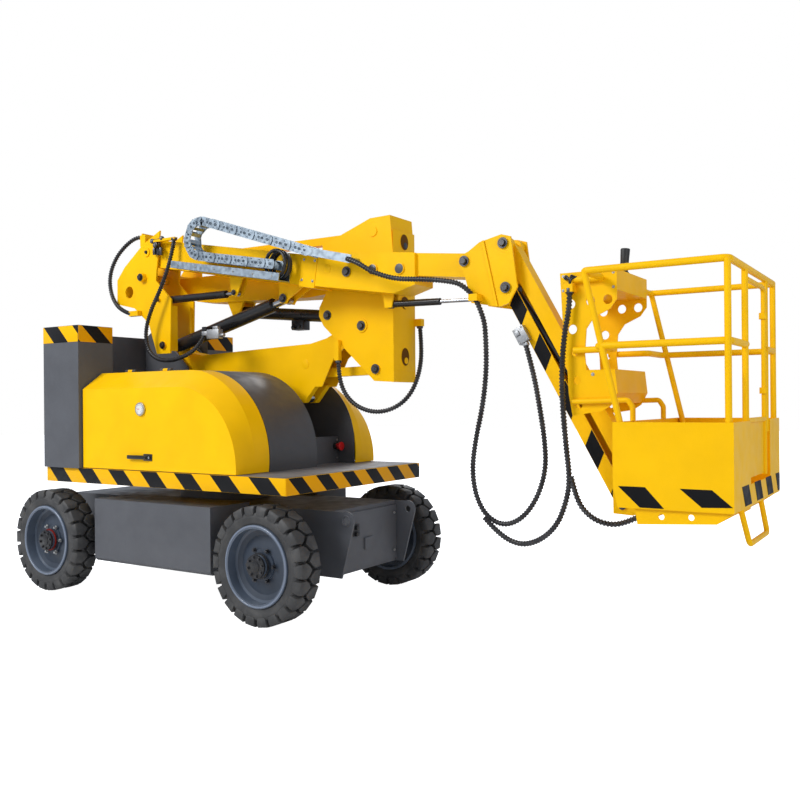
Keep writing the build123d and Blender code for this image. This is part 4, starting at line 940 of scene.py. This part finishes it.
for number, (across, tall, y) in enumerate(((78, 86, -150), (70, 80, -122), (80, 84, -178))):
    bpy.ops.mesh.primitive_torus_add(
        major_segments=64, minor_segments=12, major_radius=0.1, minor_radius=0.012,
        location=(0, 0, 0), rotation=(pi / 2, 0, 0),
    )
    loop = seat(bpy.context.object)
    loop.data.transform(Matrix.Diagonal((across / 100, 1, tall / 100, 1)))
    loop.data.transform(Matrix.Translation(at(632 - 4 * number, y, 2062 + 3 * number)))
    alone(loop)
    bpy.ops.object.shade_smooth()
    coils.append(loop)
finish_as(joined("tray_loop", *coils), hose_rubber, "boom")

valve = joined(
    "jib_valve",
    jib_block("valve_body", (213, 302), (-89.5, -24), (-89.5, -52.2)),
    jib_block("valve_cap", (228, 256), (-84, -56), (-97, -88), 0.003),
    jib_block("valve_port", (300, 322), (-76, -46), (-84, -58), 0.003),
)
finish_as(valve, aluminium, "jib")
valve_spots = [jib_point(u, v) for u, v in ((222, -34), (292, -34), (222, -80), (292, -80))]
bolts("valve_screws", 4, 4, [(x, -89.5, z) for x, z in valve_spots], NEAR, "jib", bolt_steel)
port = joined(
    "lift_port",
    block("port_body", (-26, 84), (-137, -95), (1640, 1702), 0.004),
    block("port_cap", (-72, -24), (-137, -108), (1664, 1692), 0.003),
    block("port_top", (22, 66), (-128, -100), (1701, 1722), 0.003),
    drum("port_tap", (100, -116, 1662), 12, 34, "x", 20, 0.002),
)
finish_as(port, aluminium, "lift_barrel")
for name, spot, along, radius, body in (
    ("clamp_rear_low", (-786, -124, 1852), "x", 20, "rear_knuckle"),
    ("clamp_knee_low", (868, 118, 1470), "z", 20, "mid_knuckle"),
    ("clamp_knee_high", (1308, 383, 1684), "z", 20, "mid_knuckle"),
    ("clamp_head", (2008, -140, 1766), "z", 22, "head"),
    ("clamp_tail_top", (-342, -124, 2332), "z", 20, "rear_knuckle"),
):
    band = drum(name, spot, radius, 16, along, 32, 0.002)
    finish_as(band, dark_steel, body)

tail_clamp = joined(
    "tail_clamp",
    block("clamp_bar", (-560, -440), (-128, -112), (2334, 2352), 0.003),
    block("clamp_foot", (-522, -496), (-126, -106), (2240, 2340), 0.003),
    drum("clamp_knob_a", (-548, -134, 2338), 17, 18, "y", 20, 0.003),
    drum("clamp_knob_b", (-508, -138, 2306), 21, 24, "y", 20, 0.003),
    drum("clamp_knob_c", (-452, -134, 2348), 15, 18, "y", 20, 0.003),
    drum("clamp_nut_a", (-542, -122, 2268), 14, 46, "z", 6, 0.002),
    drum("clamp_nut_b", (-476, -122, 2262), 14, 52, "z", 6, 0.002),
)
finish_as(tail_clamp, dark_steel, "rear_knuckle")
knob_spots = [(-548, -143, 2338), (-508, -150, 2306), (-452, -143, 2348)]
bolts("knob_screws", 7, 7, knob_spots, NEAR, "rear_knuckle", bolt_steel)

upper_valve = joined(
    "upper_valve",
    block("upper_valve_body", (400, 500), (208, 280), (1700, 1768), 0.004),
    drum("upper_valve_cap", (424, 206, 1716), 14, 30, "y", 6, 0.002),
    drum("upper_valve_tap", (470, 206, 1722), 11, 24, "y", 20, 0.002),
)
finish_as(upper_valve, black_paint, "upper_barrel")


# Basket marks, levers and under-frame

side_marks = [
    [(2924, 838), (3045, 838), (3128, 749), (3022, 749)],
    [(3196, 838), (3330, 838), (3414, 769), (3288, 763)],
]
for number, corners in enumerate(side_marks):
    mark = outline(f"basket_mark_near_{number}", [at(x, -500.1, z) for x, z in corners], 0.0012, NEAR)
    finish_as(mark, band_black, "basket")
    far_corners = [at(x, 500.1, z) for x, z in reversed(corners)]
    far_mark = outline(f"basket_mark_far_{number}", far_corners, 0.0012, FAR)
    finish_as(far_mark, band_black, "basket")
for number, y in enumerate((-359, -110, 139, 388)):
    corners = [(y, 842), (y + 132, 842), (y + 132 + 60, 753), (y + 60, 753)]
    if number == 3:
        corners = [(y, 842), (y + 100, 842), (y + 108, 830), (y + 108, 753), (y + 60, 753)]
    front_corners = [at(3420.1, across, z) for across, z in corners]
    mark = outline(f"basket_mark_front_{number}", front_corners, 0.0012, (1, 0, 0))
    finish_as(mark, band_black, "basket")
skirt = [(2994, 743.5), (3416, 743.5), (3345, 694), (3004, 673)]
for side, name in ((-1, "near"), (1, "far")):
    plate = outline(f"under_frame_{name}", [at(x, side * 478, z) for x, z in skirt], 0.006, (0, side, 0))
    for x, z in ((3111, 712), (3239, 716)):
        drill(plate, x, z, 13, sorted((side * 470, side * 492)))
    finish_as(plate, yellow_paint, "basket")
for x, low, name in ((3004, 674, "rear"), (3340, 694, "front")):
    rail = block(f"under_rail_{name}", (x, x + 6), (-478, 478), (low, 743.5), 0.001)
    finish_as(rail, yellow_paint, "basket")

LEVER_FOOT_Z = 1850
for number, (x, foot_r, head_r, tall, lean) in enumerate(
    ((2785, 0.019, 0.024, 92, 4), (2697, 0.012, 0.010, 18, -8))
):
    stalk = drum(f"lever_stalk_{number}", (x, 0, LEVER_FOOT_Z), 6, 34, "z", 20, 0.001)
    finish_as(stalk, dark_steel, "basket")
    bpy.ops.mesh.primitive_cone_add(
        vertices=24, radius1=foot_r, radius2=head_r, depth=tall / 1000 + 0.03,
        location=at(x, 0, LEVER_FOOT_Z + 12 + tall / 2), rotation=(0, radians(lean), 0),
    )
    grip = bpy.context.object
    grip.name = f"lever_grip_{number}"
    seat(grip)
    soften(grip, 0.006, 3)
    finish_as(grip, grip_rubber, "basket")
    bpy.ops.mesh.primitive_cone_add(
        vertices=24, radius1=0.030, radius2=0.010, depth=0.026, location=at(x, 0, LEVER_FOOT_Z)
    )
    boot = bpy.context.object
    boot.name = f"lever_boot_{number}"
    seat(boot)
    soften(boot, 0.003, 2)
    finish_as(boot, grip_rubber, "basket")
switch_spots = [(2575, -120), (2620, -120), (2575, -60), (2620, -60), (2575, 60), (2620, 60)]
for number, (x, y) in enumerate(switch_spots):
    cap = drum(f"switch_{number}", (x, y, 1843), 9, 12, "z", 24, 0.002)
    finish_as(cap, black_paint if number % 3 else red_paint, "basket")
console_spots = [(x, -222.2, z) for z in (1822, 1752) for x in (2550, 2808)]
bolts("console_screws", 5, 4, console_spots, NEAR, "basket", bolt_steel)
bolts("junction_screws", 6, 4, [(2700, -222.2, 1340), (2780, -222.2, 1340)], NEAR, "basket", bolt_steel)
gland = joined(
    "console_gland",
    drum("gland_body", (2598, -255, 1744), 21, 26, "z", 24, 0.002),
    drum("gland_nut", (2598, -255, 1762), 17, 14, "z", 6, 0.001),
)
finish_as(gland, dark_steel, "basket")
leads = []
for start in ((2568, -223, 1812), (2606, -223, 1812), (2634, -223, 1800)):
    line = centreline([start, (start[0], -246, start[2] + 14), (2602, -262, 1800), (2600, -256, 1770)])
    curve = bpy.data.curves.new("lead", "CURVE")
    curve.dimensions = "3D"
    curve.bevel_depth = 0.0055
    spline = curve.splines.new("POLY")
    spline.points.add(len(line) - 1)
    for control, point in zip(spline.points, line):
        control.co = (*point, 1)
    lead = bpy.data.objects.new("lead", curve)
    bpy.context.scene.collection.objects.link(lead)
    alone(lead)
    bpy.ops.object.convert(target="MESH")
    leads.append(bpy.context.object)
    leads.append(drum("lead_plug", (start[0], -227, start[2]), 11, 14, "y", 20, 0.002))
finish_as(joined("console_leads", *leads), black_paint, "basket")


# Chassis marks

EARS = {"rear_near": (-1262, -1), "rear_far": (-1262, 1), "front_near": (1262, -1), "front_far": (1262, 1)}
for corner, (x, side) in EARS.items():
    bpy.ops.mesh.primitive_torus_add(
        major_segments=40, minor_segments=8, major_radius=0.027, minor_radius=0.005,
        location=at(x, side * 311, 552), rotation=(pi / 2, 0, 0),
    )
    lip = bpy.context.object
    lip.name = f"ear_lip_{corner}"
    seat(lip)
    bpy.ops.object.shade_smooth()
    finish_as(lip, grey_paint, "chassis")
for side, name in ((1, "front"), (-1, "rear")):
    spots = [(side * 1189.2, y, z) for y in (-255, 255) for z in (300, 530)]
    bolts(f"cover_bolts_{name}", 6, 6, spots, (side, 0, 0), "chassis", bolt_steel)


# Floor and light

bpy.ops.mesh.primitive_plane_add(size=60, location=(0, 0, 0))
floor = bpy.context.object
floor.name = "floor"
floor_material = bpy.data.materials.new("floor")
floor_material.use_nodes = True
tree = floor_material.node_tree
shader = tree.nodes["Principled BSDF"]
shader.inputs["Base Color"].default_value = (0.8, 0.8, 0.8, 1)
shader.inputs["Roughness"].default_value = 0.9
floor.data.materials.append(floor_material)
glow = tree.nodes.new("ShaderNodeLightPath")
shader.inputs["Emission Color"].default_value = (1, 1, 1, 1)
tree.links.new(glow.outputs["Is Camera Ray"], shader.inputs["Emission Strength"])

world = bpy.data.worlds.new("studio")
bpy.context.scene.world = world
world.use_nodes = True
tree = world.node_tree
sky = tree.nodes["Background"]
sky.inputs["Color"].default_value = (0.82, 0.88, 1.0, 1)
sky.inputs["Strength"].default_value = 0.55
white = tree.nodes.new("ShaderNodeBackground")
white.inputs["Color"].default_value = (1, 1, 1, 1)
white.inputs["Strength"].default_value = 1.0
rays = tree.nodes.new("ShaderNodeLightPath")
pick = tree.nodes.new("ShaderNodeMixShader")
tree.links.new(rays.outputs["Is Camera Ray"], pick.inputs["Fac"])
tree.links.new(sky.outputs["Background"], pick.inputs[1])
tree.links.new(white.outputs["Background"], pick.inputs[2])
tree.links.new(pick.outputs["Shader"], tree.nodes["World Output"].inputs["Surface"])


def lamp(name, place, aim, power, size, colour=(1, 1, 1)):
    bpy.ops.object.light_add(type="AREA", location=place)
    light = bpy.context.object
    light.name = name
    light.data.energy = power
    light.data.size = size
    light.data.color = colour
    light.rotation_euler = (Vector(aim) - Vector(place)).to_track_quat("-Z", "Y").to_euler()
    return light


lamps = [
    lamp("key", (-3.0, -6.5, 6.0), (0, 0, 1.0), 475, 3.0),
    lamp("front_fill", (7.0, -3.0, 3.0), (0, 0, 1.0), 90, 3.0),
    lamp("back_rim", (-3.0, 6.0, 5.0), (0, 0, 1.2), 120, 3.0),
]

scene = bpy.context.scene
scene.view_settings.view_transform = "Standard"
